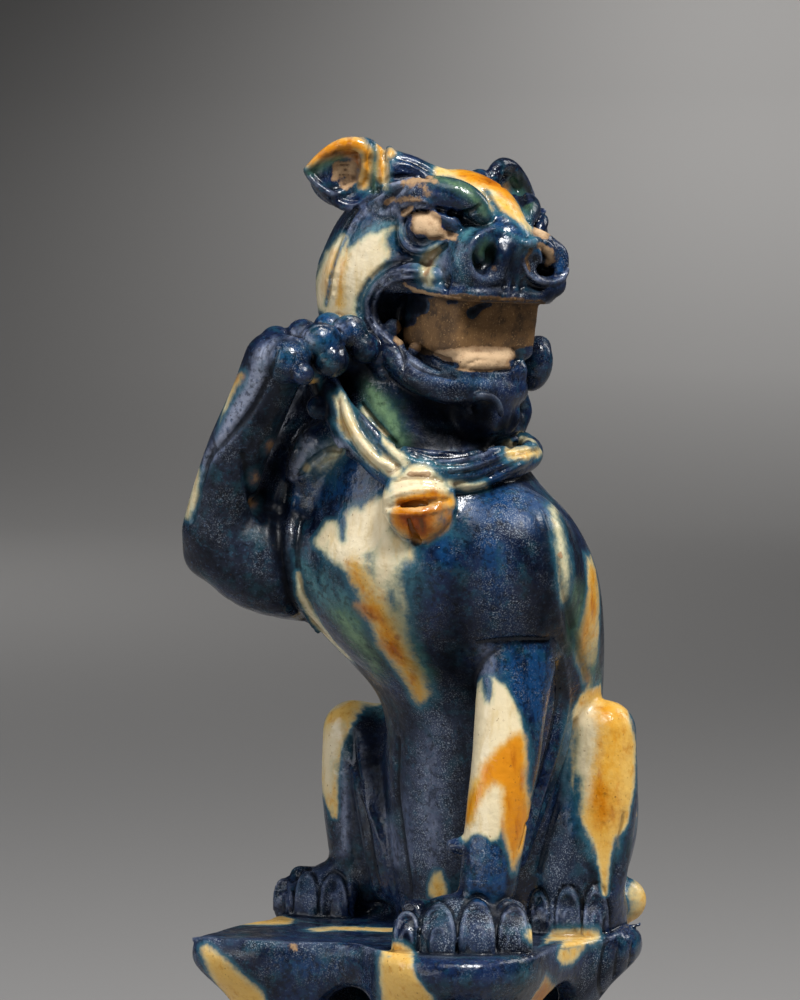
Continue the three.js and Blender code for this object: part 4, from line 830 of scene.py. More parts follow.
def stroke(rows, far, deep):
    """Distance in mm from each vertex to a stroke of pixels, at the depth of the clay behind it. A
    vertex may lie deeper or nearer than that clay by deep and 0.8 of the radius before it counts."""
    rows = np.array(rows, float).reshape(-1, 3)
    depth = depth_at(rows[:, 0], rows[:, 1])
    known = ~np.isnan(depth)
    if not known.any():
        return np.full(len(points), far)
    depth = np.interp(np.arange(len(rows)), np.flatnonzero(known), depth[known])
    reach = rows[:, 2].max() + far / VIEW_STEP
    low, high = rows[:, :2].min(0) - reach, rows[:, :2].max(0) + reach
    close = np.flatnonzero(((on_view > low) & (on_view < high)).all(1))
    here, here_near = on_view[close], near[close]
    best = np.full(len(close), far)
    for i in range(max(len(rows) - 1, 1)):
        j = min(i + 1, len(rows) - 1)
        way = rows[j, :2] - rows[i, :2]
        along = np.clip((here - rows[i, :2]) @ way / max(way @ way, 1e-6), 0, 1)
        radius = rows[i, 2] + along * (rows[j, 2] - rows[i, 2])
        flat = np.linalg.norm(here - rows[i, :2] - along[:, None] * way, axis=1) - radius
        past = np.abs(here_near - depth[i] - along * (depth[j] - depth[i])) - deep - 0.8 * VIEW_STEP * radius
        best = np.minimum(best, flat * VIEW_STEP + np.maximum(past, 0))
    result = np.full(len(points), far)
    result[close] = best
    return result


def lay(name, edge):
    """Lays a glaze over the others by the distance to its edge. The material stacks the glazes in
    their order here, so a new one is cut out of all that come after it, but for the frost. Cream
    lies under the warm glazes, so that no blue shows between them."""
    if name in ("honey", "amber", "rust"):
        dabs["cream"] = np.minimum(dabs["cream"], edge)
    if name in dabs:
        dabs[name] = np.minimum(dabs[name], edge)
    for other in GLAZES[GLAZES.index(name) + 1 if name in dabs else 0:-1]:
        dabs[other] = np.maximum(dabs[other], -edge)


def paint(name, *rows, soft=1.0, deep=3.0):
    """A brush stroke; a larger soft lets it bleed further into its neighbours, and a larger deep
    takes it round the edge of the view."""
    lay(name, stroke(rows, FAR * soft, deep) / soft)


def run(name, place, radius, tall):
    """A run of glaze on the sides away from the view: an oval round a point in mm with a wavy edge,
    whose lower half is drawn out into drips by two sine waves across it, kept to the hidden side."""
    apart = points - place
    hidden = 0.5 * (near + 12)
    along = 1.1 * apart[:, 0] + 0.8 * apart[:, 1]
    wave = 0.6 * np.sin(0.85 * along + radius) + 0.4 * np.sin(2.3 * along + 7 * tall)
    bend = 1.8 * np.sin(0.19 * along + 0.13 * apart[:, 2] + radius) + 1.1 * np.sin(0.45 * along - 0.3 * apart[:, 2])
    stretch = np.where(apart[:, 2] > 0, 0.7, tall * (0.7 + 0.8 * np.maximum(wave, 0)))
    apart[:, 2] /= stretch
    edge = (np.linalg.norm(apart, axis=1) - radius) / 1.3 + bend
    lay(name, np.clip(np.maximum(edge, hidden), -FAR, FAR))


# The back, the right side and the rear of the plinth, in the same glazes
BACK_RUNS = (
    ("cobalt", (0, 36, 200), 26, 1.6), ("cobalt", (-22, 44, 125), 20, 2), ("cobalt", (26, 48, 130), 20, 2),
    ("teal", (0, 32, 258), 15, 2.4), ("cream", (1, 32, 258), 12, 2.8), ("amber", (-2, 32, 252), 6, 3.6),
    ("teal", (4, 32, 196), 23, 3), ("cream", (6, 32, 202), 18, 3.4), ("honey", (10, 38, 186), 9, 4),
    ("amber", (14, 42, 178), 5, 6), ("teal", (-24, 22, 186), 12, 3), ("cream", (-24, 22, 188), 9, 3.6),
    ("teal", (40, 40, 130), 16, 2.4), ("honey", (42, 40, 134), 13, 2.8), ("amber", (43, 42, 124), 7, 3),
    ("teal", (-40, 36, 126), 16, 2.4), ("cream", (-40, 36, 130), 13, 2.8), ("amber", (-42, 38, 118), 6, 3.4),
    ("teal", (2, 56, 122), 11, 3), ("honey", (4, 56, 118), 8, 3.6),
    ("honey", (40, 44, 66), 14, 2), ("cream", (-40, 42, 66), 14, 2.2), ("amber", (0, 48, 64), 8, 2.2),
    ("honey", (-48, -4, 66), 11, 2), ("cream", (52, 10, 66), 9, 2.2), ("amber", (50, -6, 60), 7, 2))
for name, place, radius, tall in BACK_RUNS:
    run(name, place, radius, tall)

# Broad grounds: slate limbs, cobalt chest, and black on the throat as painted shadow under the jaw
paint("slate", (250, 395, 40), (235, 450, 36), (225, 520, 34), (240, 560, 34), (280, 570, 36), soft=2)
paint("slate", (440, 650, 14), (445, 700, 42), (430, 780, 44), (430, 860, 44), soft=2)
paint("slate", (350, 800, 20), (365, 860, 26), soft=1.5)
paint("lavender", (436, 730, 7), (428, 770, 11), (430, 820, 12), (432, 860, 9), soft=4)
paint("lavender", (408, 800, 3), (412, 860, 4), soft=2)
paint("slate", (560, 850, 24), (575, 880, 26), soft=1.5)
paint("cobalt", (300, 500, 14), (330, 482, 18), (365, 478, 20), (400, 490, 18))
paint("cobalt", (450, 500, 20), (500, 500, 30), (540, 515, 22), soft=1.5)
paint("cobalt", (488, 545, 20), (498, 580, 12), (502, 620, 10), soft=3)
paint("cobalt", (440, 540, 16), (445, 560, 14), soft=2)
# Black on the throat and under the beard: painted shadow of the jaw
paint("black", (430, 405, 26), (480, 410, 24), (460, 440, 18), (405, 445, 12), soft=1.5)
paint("black", (505, 425, 12), (520, 420, 8))
paint("black", (455, 585, 6), (458, 625, 12), (450, 665, 14), (470, 692, 9), soft=2)
paint("black", (545, 530, 6), (545, 580, 7), (542, 625, 9), soft=1.6)
# Right ear and crest
paint("green", (310, 172, 3), (322, 162, 6), (338, 157, 4))
paint("green", (372, 150, 3), (374, 170, 3), (374, 188, 3))
paint("amber", (310, 163, 4), (323, 153, 7), (340, 146, 8), (356, 144, 8), (367, 152, 6), (367, 168, 5), (364, 184, 4))
paint("rust", (322, 157, 2), (338, 153, 2.5), (354, 153, 2.5), (358, 165, 2), soft=0.8)
paint("bare", (334, 178, 3), (340, 170, 8), (350, 168, 7), (352, 180, 5), (345, 184, 5))
paint("bare", (304, 166, 4))
paint("amber", (380, 146, 3), (382, 160, 5), (381, 178, 4), soft=0.8)
paint("cream", (386, 154, 2), (387, 170, 2), (385, 188, 3), soft=0.7)
paint("amber", (391, 153, 4))
paint("cobalt", (400, 160, 6), (420, 166, 6), (432, 172, 4))
paint("lavender", (399, 157, 1.5), (415, 161, 1.5), (430, 170, 1), soft=0.4)
# Nape and cheek
paint("lavender", (362, 212, 6), (376, 206, 8), (390, 205, 8), (398, 222, 6), soft=1.4)
paint("teal", (392, 222, 7), (375, 230, 9), (360, 240, 8), soft=1.3)
paint("cream", (394, 232, 6), (374, 250, 17), (352, 270, 20), (340, 290, 22), (340, 304, 19), (341, 312, 17), soft=0.9)
paint("honey", (345, 256, 4), (340, 275, 5), (338, 302, 5), soft=2)
paint("amber", (341, 266, 1.2), (337, 285, 1.5), (336, 302, 1), soft=2)
paint("navy", (378, 198, 3), (359, 211, 3), (347, 227, 2.5), (340, 238, 1.5))
paint("cream", (343, 240, 5), (334, 258, 10), (327, 282, 12), (325, 300, 12), soft=0.8, deep=12)
paint("amber", (336, 256, 2), (330, 272, 3), (327, 290, 2), soft=2)
# Thin lavender along the nape's ridge: painted highlight
paint("lavender", (370, 206, 1.6), (352, 226, 1.8), (340, 250, 1.6), (331, 275, 1.5), (326, 305, 1.5), soft=0.5)
paint("navy", (370, 280, 3), (361, 296, 4), (359, 312, 4), (364, 334, 6), soft=0.8)
paint("cobalt", (398, 240, 12), (408, 256, 10), soft=1.3)
paint("lavender", (388, 262, 3), (402, 260, 4), (416, 264, 4))
# Forehead and brow
paint("cream", (450, 172, 4), (474, 180, 6), (488, 192, 10), (502, 203, 13), (514, 216, 12), (524, 228, 8), soft=0.8)
paint("honey", (440, 171, 4), (456, 172, 5), (474, 176, 6), soft=1.2)
paint("honey", (498, 200, 5), (506, 208, 9), (516, 218, 9), (522, 226, 5), soft=1.6)
paint("amber", (504, 204, 3), (514, 214, 4), soft=4)
paint("amber", (462, 173, 6), (480, 178, 9), (497, 184, 9), (508, 194, 7), (515, 204, 4), soft=1.2)
paint("rust", (483, 179, 3), (495, 182, 4), (504, 187, 3), soft=1.3)
paint("navy", (486, 190, 2), (492, 202, 3), (499, 214, 4), soft=0.8)
paint("green", (513, 180, 3), (521, 192, 3), (528, 206, 3), soft=1.3)
paint("green", (430, 178, 3), (444, 180, 5), (458, 185, 6), (471, 195, 6), (479, 206, 5), (484, 214, 4), soft=1.5)
paint("navy", (445, 195, 9), (460, 202, 9), (474, 210, 5), soft=0.9)
paint("lavender", (392, 184, 6), (408, 180, 8), (402, 192, 6), soft=1.3)
paint("bare", (405, 183, 2.5), (416, 180, 4), (428, 178, 3.5), (436, 181, 2), soft=1.8)
paint("bare", (423, 187, 2.5), (428, 193, 4), soft=2)
paint("bare", (396, 201, 1.8), (410, 199, 2), (422, 201, 1.5), soft=1.3)
paint("cobalt", (412, 188, 2), (418, 192, 2.5), soft=1.6)
# Thin lavender round the brow's scrolled tail: painted highlight along its ridge
paint("lavender", (384, 192, 2.5), (378, 198, 3), (376, 206, 2.5), (381, 213, 2.5), (394, 212, 2.5), (406, 204, 2),
      (426, 203, 2), soft=0.5)
paint("bare", (387, 202, 3), (393, 199, 2.5), soft=0.6)
paint("navy", (384, 208, 1.5), (392, 205, 1.5), soft=0.4)
# Eyes
paint("bare", (419, 218, 7), (417, 227, 7), (430, 223, 12), (434, 231, 9), (446, 236, 4), (458, 238, 2.5), soft=0.8)
paint("bare", (404, 214, 3), (412, 208, 2), soft=0.6)
paint("cobalt", (440, 210, 3), (449, 217, 5), (457, 227, 5), soft=0.7)
paint("navy", (409, 221, 1.3), (408, 233, 1.6), (415, 243, 1.8), (428, 244, 1.6), (441, 241, 1.2), soft=0.4)
# Thin lavender along the lower lid: painted highlight on its ridge
paint("lavender", (404, 224, 1.2), (404, 238, 1.4), (411, 248, 1.5), (421, 250, 1.5), (434, 246, 1.4), (446, 240, 1), soft=0.3)
paint("bare", (541, 232, 9))
# Muzzle
paint("cobalt", (498, 221, 12), (515, 230, 10), (530, 240, 8), (550, 255, 8), (560, 262, 8))
paint("cobalt", (450, 252, 10), (455, 266, 10), (466, 282, 8))
paint("cobalt", (505, 238, 9), (516, 262, 8), soft=1.4)
paint("teal", (462, 238, 6), (474, 228, 6), (484, 222, 4), soft=1.3)
paint("teal", (452, 246, 5), (460, 270, 5), (466, 284, 3), soft=1.3)
# Lavender beside the fold before the muzzle: painted reflection
paint("lavender", (446, 250, 3), (440, 262, 7), (440, 278, 6), soft=1.3)
paint("cream", (436, 249, 4), (429, 258, 5), (426, 269, 6), (430, 281, 5), soft=1.4)
paint("bare", (431, 262, 2), (427, 274, 2.5), soft=1.4)
paint("navy", (478, 262, 10), (492, 256, 10), soft=0.8)
paint("black", (486, 250, 9), (492, 262, 10))
paint("green", (484, 243, 2), (480, 254, 3), soft=1.6)
paint("bisque", (493, 268, 1.5), soft=2)
# Black in the valley between the nostrils: painted shadow
paint("black", (511, 246, 6), (512, 270, 9), (510, 292, 8))
paint("teal", (528, 246, 5), (536, 240, 4), soft=2)
paint("cobalt", (560, 256, 7), (560, 270, 6))
paint("black", (540, 268, 7))
paint("bare", (541, 246, 3.5), (549, 252, 4.5), (551, 260, 3.5), (546, 266, 2), soft=0.8)
paint("bisque", (531, 250, 2), (526, 260, 2), (529, 270, 2), soft=1.4)
paint("lavender", (523, 262, 1.2), (529, 275, 1.4), (545, 283, 1.4), (561, 279, 1.4), (568, 269, 1), soft=0.4)
# Mouth: bare clay with pools, teeth and tongue
paint("bisque", (424, 327, 28), (455, 322, 28), (505, 322, 30), (530, 322, 24))
paint("navy", (437, 283, 5), (470, 288, 7), (505, 289, 7), (530, 290, 8), (556, 288, 9))
paint("black", (500, 292, 5), (530, 293, 5), (552, 292, 5), soft=1.4)
paint("black", (372, 300, 8), (386, 303, 12))
paint("black", (414, 306, 12), (421, 306, 9), soft=0.5)
for pool in ((405, 300, 7), (405, 311, 7), (406, 322, 6), (411, 320, 6)):
    paint("black", pool, soft=0.6)
paint("black", (472, 313, 6), (480, 307, 4), (490, 304, 2), soft=0.6)
paint("black", (448, 302, 2), (456, 302, 2), soft=0.5)
paint("black", (480, 301, 0.6), (540, 302, 0.8), soft=0.6)
paint("bare", (398, 340, 4), (408, 346, 3), soft=0.8)
paint("bare", (437, 353, 2.5), (462, 359, 12), (485, 359, 13), (505, 358, 11), soft=0.6)
paint("cobalt", (515, 364, 6), soft=0.7)
paint("cobalt", (436, 363, 5), (448, 366, 5), (456, 366, 3), soft=0.6)
paint("navy", (402, 350, 6), (425, 362, 6), (445, 376, 6), (475, 380, 8), (505, 380, 8), soft=0.8)
paint("cobalt", (425, 378, 6), (455, 380, 7), (490, 382, 8))
paint("lavender", (400, 356, 3), (402, 362, 3), soft=0.7)
paint("lavender", (410, 361, 3), (418, 368, 4), soft=0.7)
paint("slate", (412, 385, 4), (440, 396, 5), (480, 397, 5))
paint("navy", (412, 272, 6), (388, 279, 7), (375, 291, 7), (369, 306, 7), (372, 322, 7), (384, 338, 6), soft=0.7)
# Thin lavender along the lips of the mouth's corner: painted highlight on the ridges
for row in ((410, 270), (388, 276), (373, 288), (366, 303), (368, 320), (377, 334)), \
        ((412, 276), (392, 281), (378, 292), (372, 308), (376, 325), (390, 341)):
    paint("lavender", *((a, d, 1.5) for a, d in row), soft=0.3)
paint("bare", (404, 284, 1.5), (414, 290, 2.2), (430, 294, 1.3), (460, 298, 1), soft=0.6)
paint("bisque", (470, 299, 0.8), (500, 300, 0.8), (540, 301, 0.8), soft=0.6)
# Throat
paint("green", (370, 388, 7), (380, 405, 14), (392, 425, 12), (400, 438, 6), soft=1.7)
# Painted shadow of the jaw on the throat, in black glaze
paint("black", (430, 432, 16), (452, 438, 16), (478, 440, 13), soft=1.3)
# Collar
paint("cream", (338, 396, 5), (346, 415, 7), (357, 436, 8), (374, 457, 9), (394, 470, 8), soft=0.8)
paint("cream", (364, 410, 3), (377, 428, 5), (392, 446, 6), (404, 462, 5), soft=0.8)
paint("navy", (352, 396, 3), (355, 410, 4), (363, 428, 4), (374, 444, 3), (380, 454, 1.5), soft=0.7)
paint("navy", (370, 418, 1.5), (386, 437, 1.5), (402, 450, 2), soft=0.6)
paint("honey", (343, 420, 4), (349, 434, 4), soft=1.4)
paint("slate", (345, 386, 6), (356, 380, 6))
paint("teal", (410, 458, 4), (440, 466, 5), (470, 470, 4))
for row in ((430, 452), (462, 450), (492, 442), (514, 434)), ((440, 461), (470, 459), (498, 450), (520, 441)), \
        ((450, 470), (478, 467), (504, 457), (524, 449)):
    paint("lavender", *((a, d, 0.9) for a, d in row), soft=0.6)
paint("cream", (450, 483, 3), (468, 487, 4), (484, 485, 3), soft=0.8)
paint("cream", (506, 445, 4), (522, 439, 4), (532, 440, 3))
paint("honey", (510, 453, 4), (526, 453, 5), (537, 452, 3), soft=1.2)
# Bell
paint("cream", (419, 484, 20), (406, 492, 18), (430, 492, 18), (420, 505, 30))
paint("bare", (410, 474, 2.5), (428, 474, 2.5), soft=0.6)
paint("amber", (390, 507, 6), (405, 502, 9), (432, 497, 9), (448, 502, 7), soft=0.9)
paint("amber", (402, 518, 12), (420, 526, 15), (438, 518, 12))
paint("rust", (398, 514, 4), (404, 518, 9), (420, 526, 14), (438, 518, 12), soft=1.1)
paint("rust", (402, 503, 2), (430, 500, 3), soft=1.5)
paint("cream", (386, 501, 1.2), (402, 494, 1.5), (424, 491, 1.2), soft=0.6)
# Chest
paint("teal", (300, 560, 7), (320, 585, 18), (342, 606, 18), (360, 628, 10), soft=1.8)
paint("teal", (402, 556, 7), (409, 576, 8), (410, 606, 6), soft=4)
paint("teal", (440, 515, 4), (462, 540, 4), soft=3)
paint("green", (338, 612, 8), (356, 638, 10), (376, 668, 9), soft=2)
paint("cream", (388, 494, 6), (382, 512, 16), (364, 530, 24), (344, 546, 20), (352, 560, 14), soft=1.1)
paint("cream", (386, 540, 13), (384, 565, 14), (380, 592, 8), soft=1.8)
paint("cream", (396, 545, 10), (406, 556, 8), soft=1.6)
paint("cream", (332, 530, 9), (322, 542, 8), soft=0.8)
paint("cream", (299, 574, 2), (301, 595, 3.5), (313, 618, 3.5), (332, 640, 3), (352, 662, 2), soft=0.6)
paint("cobalt", (318, 503, 6), (321, 516, 3), soft=0.8)
paint("cobalt", (338, 508, 6), (342, 524, 4), (343, 540, 1.5), soft=0.8)
paint("cobalt", (360, 498, 5), (361, 508, 2), soft=0.8)
paint("honey", (352, 556, 3), (362, 580, 8), (378, 606, 10), (390, 634, 13), (406, 664, 9), (421, 692, 7), soft=2)
paint("amber", (350, 562, 3), (357, 578, 6), (366, 592, 3), (374, 610, 8), (382, 622, 5), (390, 640, 10), (402, 658, 6), (413, 676, 7), (421, 697, 3), soft=1.3)
paint("rust", (358, 606, 3), (370, 614, 5), (378, 619, 3), soft=1)
paint("rust", (384, 641, 3), (396, 652, 5), (401, 660, 2), soft=1)
paint("green", (350, 612, 3), (364, 638, 4), (380, 664, 4), soft=1.4)
paint("green", (392, 612, 2), (408, 640, 3), (424, 676, 3), soft=2)
paint("cream", (396, 575, 3), (400, 605, 3), (404, 640, 2.5), (414, 672, 2), soft=2)
paint("slate", (356, 672, 8), (380, 702, 12), (400, 740, 14), soft=1.5)
# Right flank
paint("teal", (550, 500, 4), (558, 540, 5), (563, 580, 4), soft=3)
paint("black", (572, 520, 4), (582, 560, 5), (580, 590, 5), soft=2)
paint("cream", (553, 508, 2.5), (560, 540, 4), (566, 572, 4), (563, 598, 2), soft=1.5)
paint("bare", (561, 555, 3.5), soft=0.5)
paint("green", (578, 590, 6), (576, 640, 7), (590, 660, 5), (598, 690, 5), soft=2)
paint("black", (570, 600, 4), (570, 640, 5), soft=2)
paint("teal", (596, 680, 7), (600, 700, 7), soft=1.6)
paint("honey", (590, 562, 3), (594, 590, 5), (592, 630, 6), (590, 660, 4), soft=1.6)
paint("amber", (593, 572, 3), (592, 602, 5), (586, 634, 6), (582, 656, 3), (588, 680, 1.5), soft=1.3)
# Left foreleg
paint("cobalt", (500, 655, 24), (530, 665, 26), (545, 700, 16), soft=1.3)
paint("cream", (490, 690, 14), (486, 722, 20), (484, 760, 25), (488, 800, 25), (480, 828, 20), soft=0.5)
paint("cream", (507, 694, 10), (507, 730, 16), soft=0.5)
paint("honey", (476, 784, 8), (468, 820, 6), soft=1.5)
paint("amber", (518, 738, 7), (512, 756, 16), (502, 776, 23), (505, 796, 22), (514, 815, 17), (515, 840, 10), (511, 868, 2), soft=1.1)
paint("amber", (480, 790, 7), (470, 806, 6), (466, 824, 4), soft=1.2)
paint("cream", (494, 792, 8), (490, 812, 13), (486, 830, 12), soft=1.2)
paint("cobalt", (487, 680, 5), (489, 702, 3), soft=0.5)
paint("cobalt", (510, 674, 9), (520, 700, 6), (522, 714, 2.5), soft=0.5)
paint("cobalt", (536, 690, 11), (541, 722, 7), (540, 746, 2.5), soft=0.5)
# Lavender on the leg's left facet: painted highlight
paint("lavender", (486, 650, 6), (485, 668, 5), (486, 684, 2), soft=1.4)
paint("cobalt", (478, 846, 12), (490, 862, 20), (486, 885, 22), soft=0.5)
# Left hind leg
paint("cobalt", (570, 745, 5), (570, 800, 9), (574, 830, 9))
paint("honey", (601, 714, 27), (603, 745, 32), (603, 790, 31), (605, 815, 24), (604, 838, 10), (604, 870, 4), (605, 893, 2),
      soft=0.5)
paint("cream", (588, 720, 14), (582, 755, 11), (584, 792, 10), soft=1.8)
paint("amber", (606, 710, 8), (616, 735, 9), (608, 765, 7), (602, 790, 12), (601, 818, 10), (603, 842, 4), soft=3)
paint("rust", (603, 795, 3), (602, 818, 3), soft=3)
paint("lavender", (572, 730, 4), (569, 765, 5), (564, 800, 4), soft=1.3)
paint("cobalt", (576, 780, 5), (574, 812, 7), soft=1.2)
paint("slate", (630, 842, 6), (622, 870, 8))
# Right hind leg
paint("cream", (330, 745, 11), (327, 780, 9), soft=0.8, deep=8)
paint("honey", (354, 708, 9), (338, 722, 13), (330, 745, 11), (328, 775, 9), (332, 800, 6), (335, 816, 3), soft=0.5)
paint("cream", (335, 732, 8), (328, 760, 8), (328, 790, 5), soft=1.4)
paint("black", (368, 722, 13), (374, 760, 14), (382, 800, 10), soft=1.6)
paint("lavender", (342, 765, 4), (345, 800, 5), (344, 850, 6), soft=1.6)
paint("lavender", (390, 820, 4), (398, 862, 5), soft=1.6)
paint("honey", (437, 874, 4), (438, 890, 9), soft=0.8)
# Raised arm and paw
# Lavender along the forearm's outer band: painted sheen of the light from the left
paint("lavender", (266, 350, 8), (256, 378, 10), (241, 405, 10), (226, 431, 8), (208, 460, 6), (200, 480, 3))
paint("cream", (238, 380, 2), (226, 400, 3), (214, 424, 3.5), (204, 450, 3), soft=0.8)
paint("amber", (240, 376, 1.5), (222, 402, 2), (212, 420, 1.5), soft=1.2)
paint("cream", (196, 470, 4), (193, 495, 4), (187, 516, 3), soft=0.8)
paint("rust", (271, 446, 1), soft=1.5)
# Black down the hollow between forearm and chest: painted shadow
paint("black", (258, 470, 8), (262, 500, 11), (272, 520, 10), (278, 548, 9), (284, 580, 7), (290, 600, 5), soft=1.1)
for hollow in ((262, 420, 6), (276, 440, 7), (276, 470, 8), (276, 510, 7), (278, 530, 6), (278, 550, 6), (294, 515, 7), (297, 540, 5)):
    paint("black", hollow, soft=1.2)
paint("rust", (255, 478, 1.2), soft=1.5)
paint("rust", (250, 502, 1.5), soft=1.5)
paint("cobalt", (288, 356, 16), (320, 338, 14), (350, 330, 12))
paint("cobalt", (322, 318, 9), (346, 322, 9))
paint("teal", (280, 352, 5), (276, 366, 4), soft=1.6)
paint("teal", (314, 346, 5), (328, 364, 4), soft=1.6)
# Lavender on the upper left of each toe: painted highlight, with some pale frosting
paint("lavender", (274, 342, 4), (270, 356, 3.5), soft=1.2)
paint("lavender", (304, 334, 5), (312, 342, 4), soft=1.2)
paint("lavender", (333, 322, 3), (343, 328, 3), soft=1.2)
paint("black", (267, 372, 1), (268, 354, 1.2), (279, 341, 1.2), (295, 340, 1.2), (306, 350, 1.2), (310, 366, 1.2), soft=0.6)
paint("black", (300, 328, 1), (312, 321, 1), (330, 327, 1.2), (342, 342, 1.2), (344, 366, 1.2), soft=0.6)
paint("black", (336, 320, 1), (352, 316, 1), (364, 326, 1.2), (370, 344, 1.2), soft=0.6)
paint("black", (362, 352, 6), (346, 374, 5), (372, 366, 4), soft=1.3)
paint("black", (308, 358, 4), (313, 380, 6), (328, 392, 8), (350, 380, 8), soft=1.4)
paint("amber", (313, 382, 2.5))
# More painted highlight on the toes' tops, in lavender
paint("lavender", (290, 336, 3), (300, 330, 3), soft=1.2)
# The shoulder lock in lavender and cream: painted light, standing in for the light that falls on it
paint("lavender", (338, 446, 9), (318, 458, 12), (306, 440, 7), (300, 470, 8), (292, 478, 3), soft=0.8)
paint("cream", (336, 452, 4), (322, 464, 4), soft=2.4)
paint("cream", (307, 468, 3), soft=1)
paint("black", (322, 408, 11), (302, 400, 9), soft=1.4)
# Deck and wall of the plinth
paint("honey", (222, 923, 5), (250, 920, 8), (285, 921, 7), soft=1.2)
paint("honey", (310, 930, 3), (345, 928, 5), (390, 930, 5), soft=1.2)
paint("honey", (532, 935, 5), (555, 938, 6), (592, 936, 5), soft=1.2)
paint("honey", (206, 950, 4), (218, 966, 10), (232, 985, 14), (246, 1004, 19), (250, 1030, 20), soft=0.9)
paint("honey", (396, 960, 16), (400, 980, 20), (408, 1000, 25), (402, 1030, 20), soft=0.9)
paint("bare", (293, 948, 4))
paint("honey", (574, 944, 10), (566, 956, 8), soft=0.9)
paint("amber", (540, 1000, 12), (545, 988, 8), (548, 1025, 10), soft=1.2)
paint("teal", (440, 978, 5), (480, 984, 9), (525, 976, 7), soft=3)
paint("cobalt", (280, 965, 12), (320, 968, 14), (345, 962, 9), soft=3)
paint("cobalt", (600, 960, 8), soft=2)
# Where the glaze is dull with fine white crystals and wear
paint("frost", (440, 690, 16), (432, 760, 26), (430, 850, 28), soft=4)
paint("frost", (530, 500, 20), (500, 530, 16), (490, 560, 14), (494, 600, 14), (500, 628, 12), soft=3)
# Pale lavender arches on the toe pads: painted highlight on their ridges
for left, right, top, foot, _ in PADS:
    middle, tall = (left + right) / 2, foot - top
    for wide, high in ((0.43, 0.94), (0.2, 0.5)):
        paint("lavender", *((middle + wide * (right - left) * a, foot - tall * high * b, 0.7)
                            for a, b in ((-1, 0.1), (-0.93, 0.55), (-0.6, 0.88), (0, 1), (0.6, 0.88), (0.93, 0.55), (1, 0.1))),
              soft=0.35)
# Thin lavender along the deck's rim: painted highlight on its top edge
paint("lavender", (196, 941, 0.8), (290, 947, 0.8), (352, 948, 0.8), (374, 954, 0.8), (405, 960, 0.8), (460, 964, 0.8),
      (530, 960, 0.8), (556, 950, 0.8), (600, 944, 0.8), (625, 932, 0.8), soft=0.4)
paint("frost", (450, 925, 30), (505, 925, 26), soft=2)
paint("frost", (560, 850, 16), (565, 905, 22), (595, 905, 20), soft=1.5)
paint("frost", (310, 890, 22), (335, 885, 20), soft=1.5)
paint("frost", (198, 940, 7), (290, 945, 7), (380, 952, 8), (460, 962, 9), (550, 955, 9), (640, 930, 8), soft=1.5)
paint("frost", (600, 975, 26), (615, 1000, 24), soft=1.5)
paint("frost", (480, 850, 5), (490, 870, 8), soft=1.5)

paint("frost", (452, 264, 9), (490, 284, 8), (530, 262, 5), soft=2.5)
paint("frost", (404, 356, 8), (430, 378, 9), (470, 386, 8), (505, 384, 7), soft=2.5)
paint("frost", (392, 330, 8), (384, 300, 6), soft=2)
paint("frost", (415, 190, 14), (390, 205, 10), soft=2)
for name, edge in dabs.items():
    mesh.attributes.new(name, "FLOAT", "POINT").data.foreach_set("value", edge.astype(np.float32))


def swell(reach):
    """How far the surface stands out of its surroundings: the mean distance in a box, in mm."""
    cells = 2 * int(round(reach / GRAIN)) + 1
    mean = np.clip(clay.values, -2 * reach, 2 * reach)
    for axis in range(3):
        pad = [(0, 0)] * 3
        pad[axis] = (cells // 2 + 1, cells // 2)
        total = np.cumsum(np.pad(mean, pad, "edge"), axis=axis, dtype=np.float32)
        ahead, behind = [slice(None)] * 3, [slice(None)] * 3
        ahead[axis], behind[axis] = slice(cells, None), slice(0, -cells)
        mean = (total[tuple(ahead)] - total[tuple(behind)]) / cells
    kept, clay.values = clay.values, mean
    result = clay.sample(points)
    clay.values = kept
    return result


for name, reach in (("swell_fine", 1.4), ("swell_broad", 4.2)):
    mesh.attributes.new(name, "FLOAT", "POINT").data.foreach_set("value", swell(reach).astype(np.float32))

# ---- Lead glaze --------------------------------------------------------------------------------
# Glossy coloured lead glazes over buff earthenware. They pool dark in creases, thin to a milky lavender
# on ridges that partly stands for painted highlight, run into each other with soft edges, and leave the face and mouth
# bare.
finish = bpy.data.materials.new("dripped_lead_glaze")
finish.use_nodes = True
tree = finish.node_tree
tree.nodes.clear()


def colour(code):
    """A colour written as six hex digits in sRGB, made linear for the shader."""
    parts = np.array([int(code[i:i + 2], 16) for i in (0, 2, 4)]) / 255
    return (*np.where(parts <= 0.04045, parts / 12.92, ((parts + 0.055) / 1.055) ** 2.4), 1.0)


def node(kind, inputs=(), output=0, **settings):
    """Adds a node with settings and inputs (numbers, colours or other outputs), gives an output."""
    made = tree.nodes.new("ShaderNode" + kind)
    for name, value in settings.items():
        setattr(made, name, value)
    for name, value in (inputs.items() if isinstance(inputs, dict) else enumerate(inputs)):
        if isinstance(value, bpy.types.NodeSocket):
            tree.links.new(value, made.inputs[name])
        else:
            made.inputs[name].default_value = value
    return made.outputs[output]


TIMES, LARGER, SUM = {"operation": "MULTIPLY"}, {"operation": "MAXIMUM"}, {"operation": "MULTIPLY_ADD"}
EASED = {"interpolation_type": "SMOOTHSTEP"}
COLOURS = {"output": 2, "data_type": "RGBA"}
where = node("TexCoord", output=3)
flow = node("VectorMath", (where, (1.0, 1.0, 0.28)), operation="MULTIPLY")


def grain(size, detail=3.0, vector=where, shift=0.0, rough=0.55):
    """Noise with bumps of a size in mm, from 0 to 1."""
    moved = node("VectorMath", (vector, (shift, 1.7 * shift, -shift)), operation="ADD")
    return node("TexNoise", {"Vector": moved, "Scale": 1000 / size, "Detail": detail, "Roughness": rough})


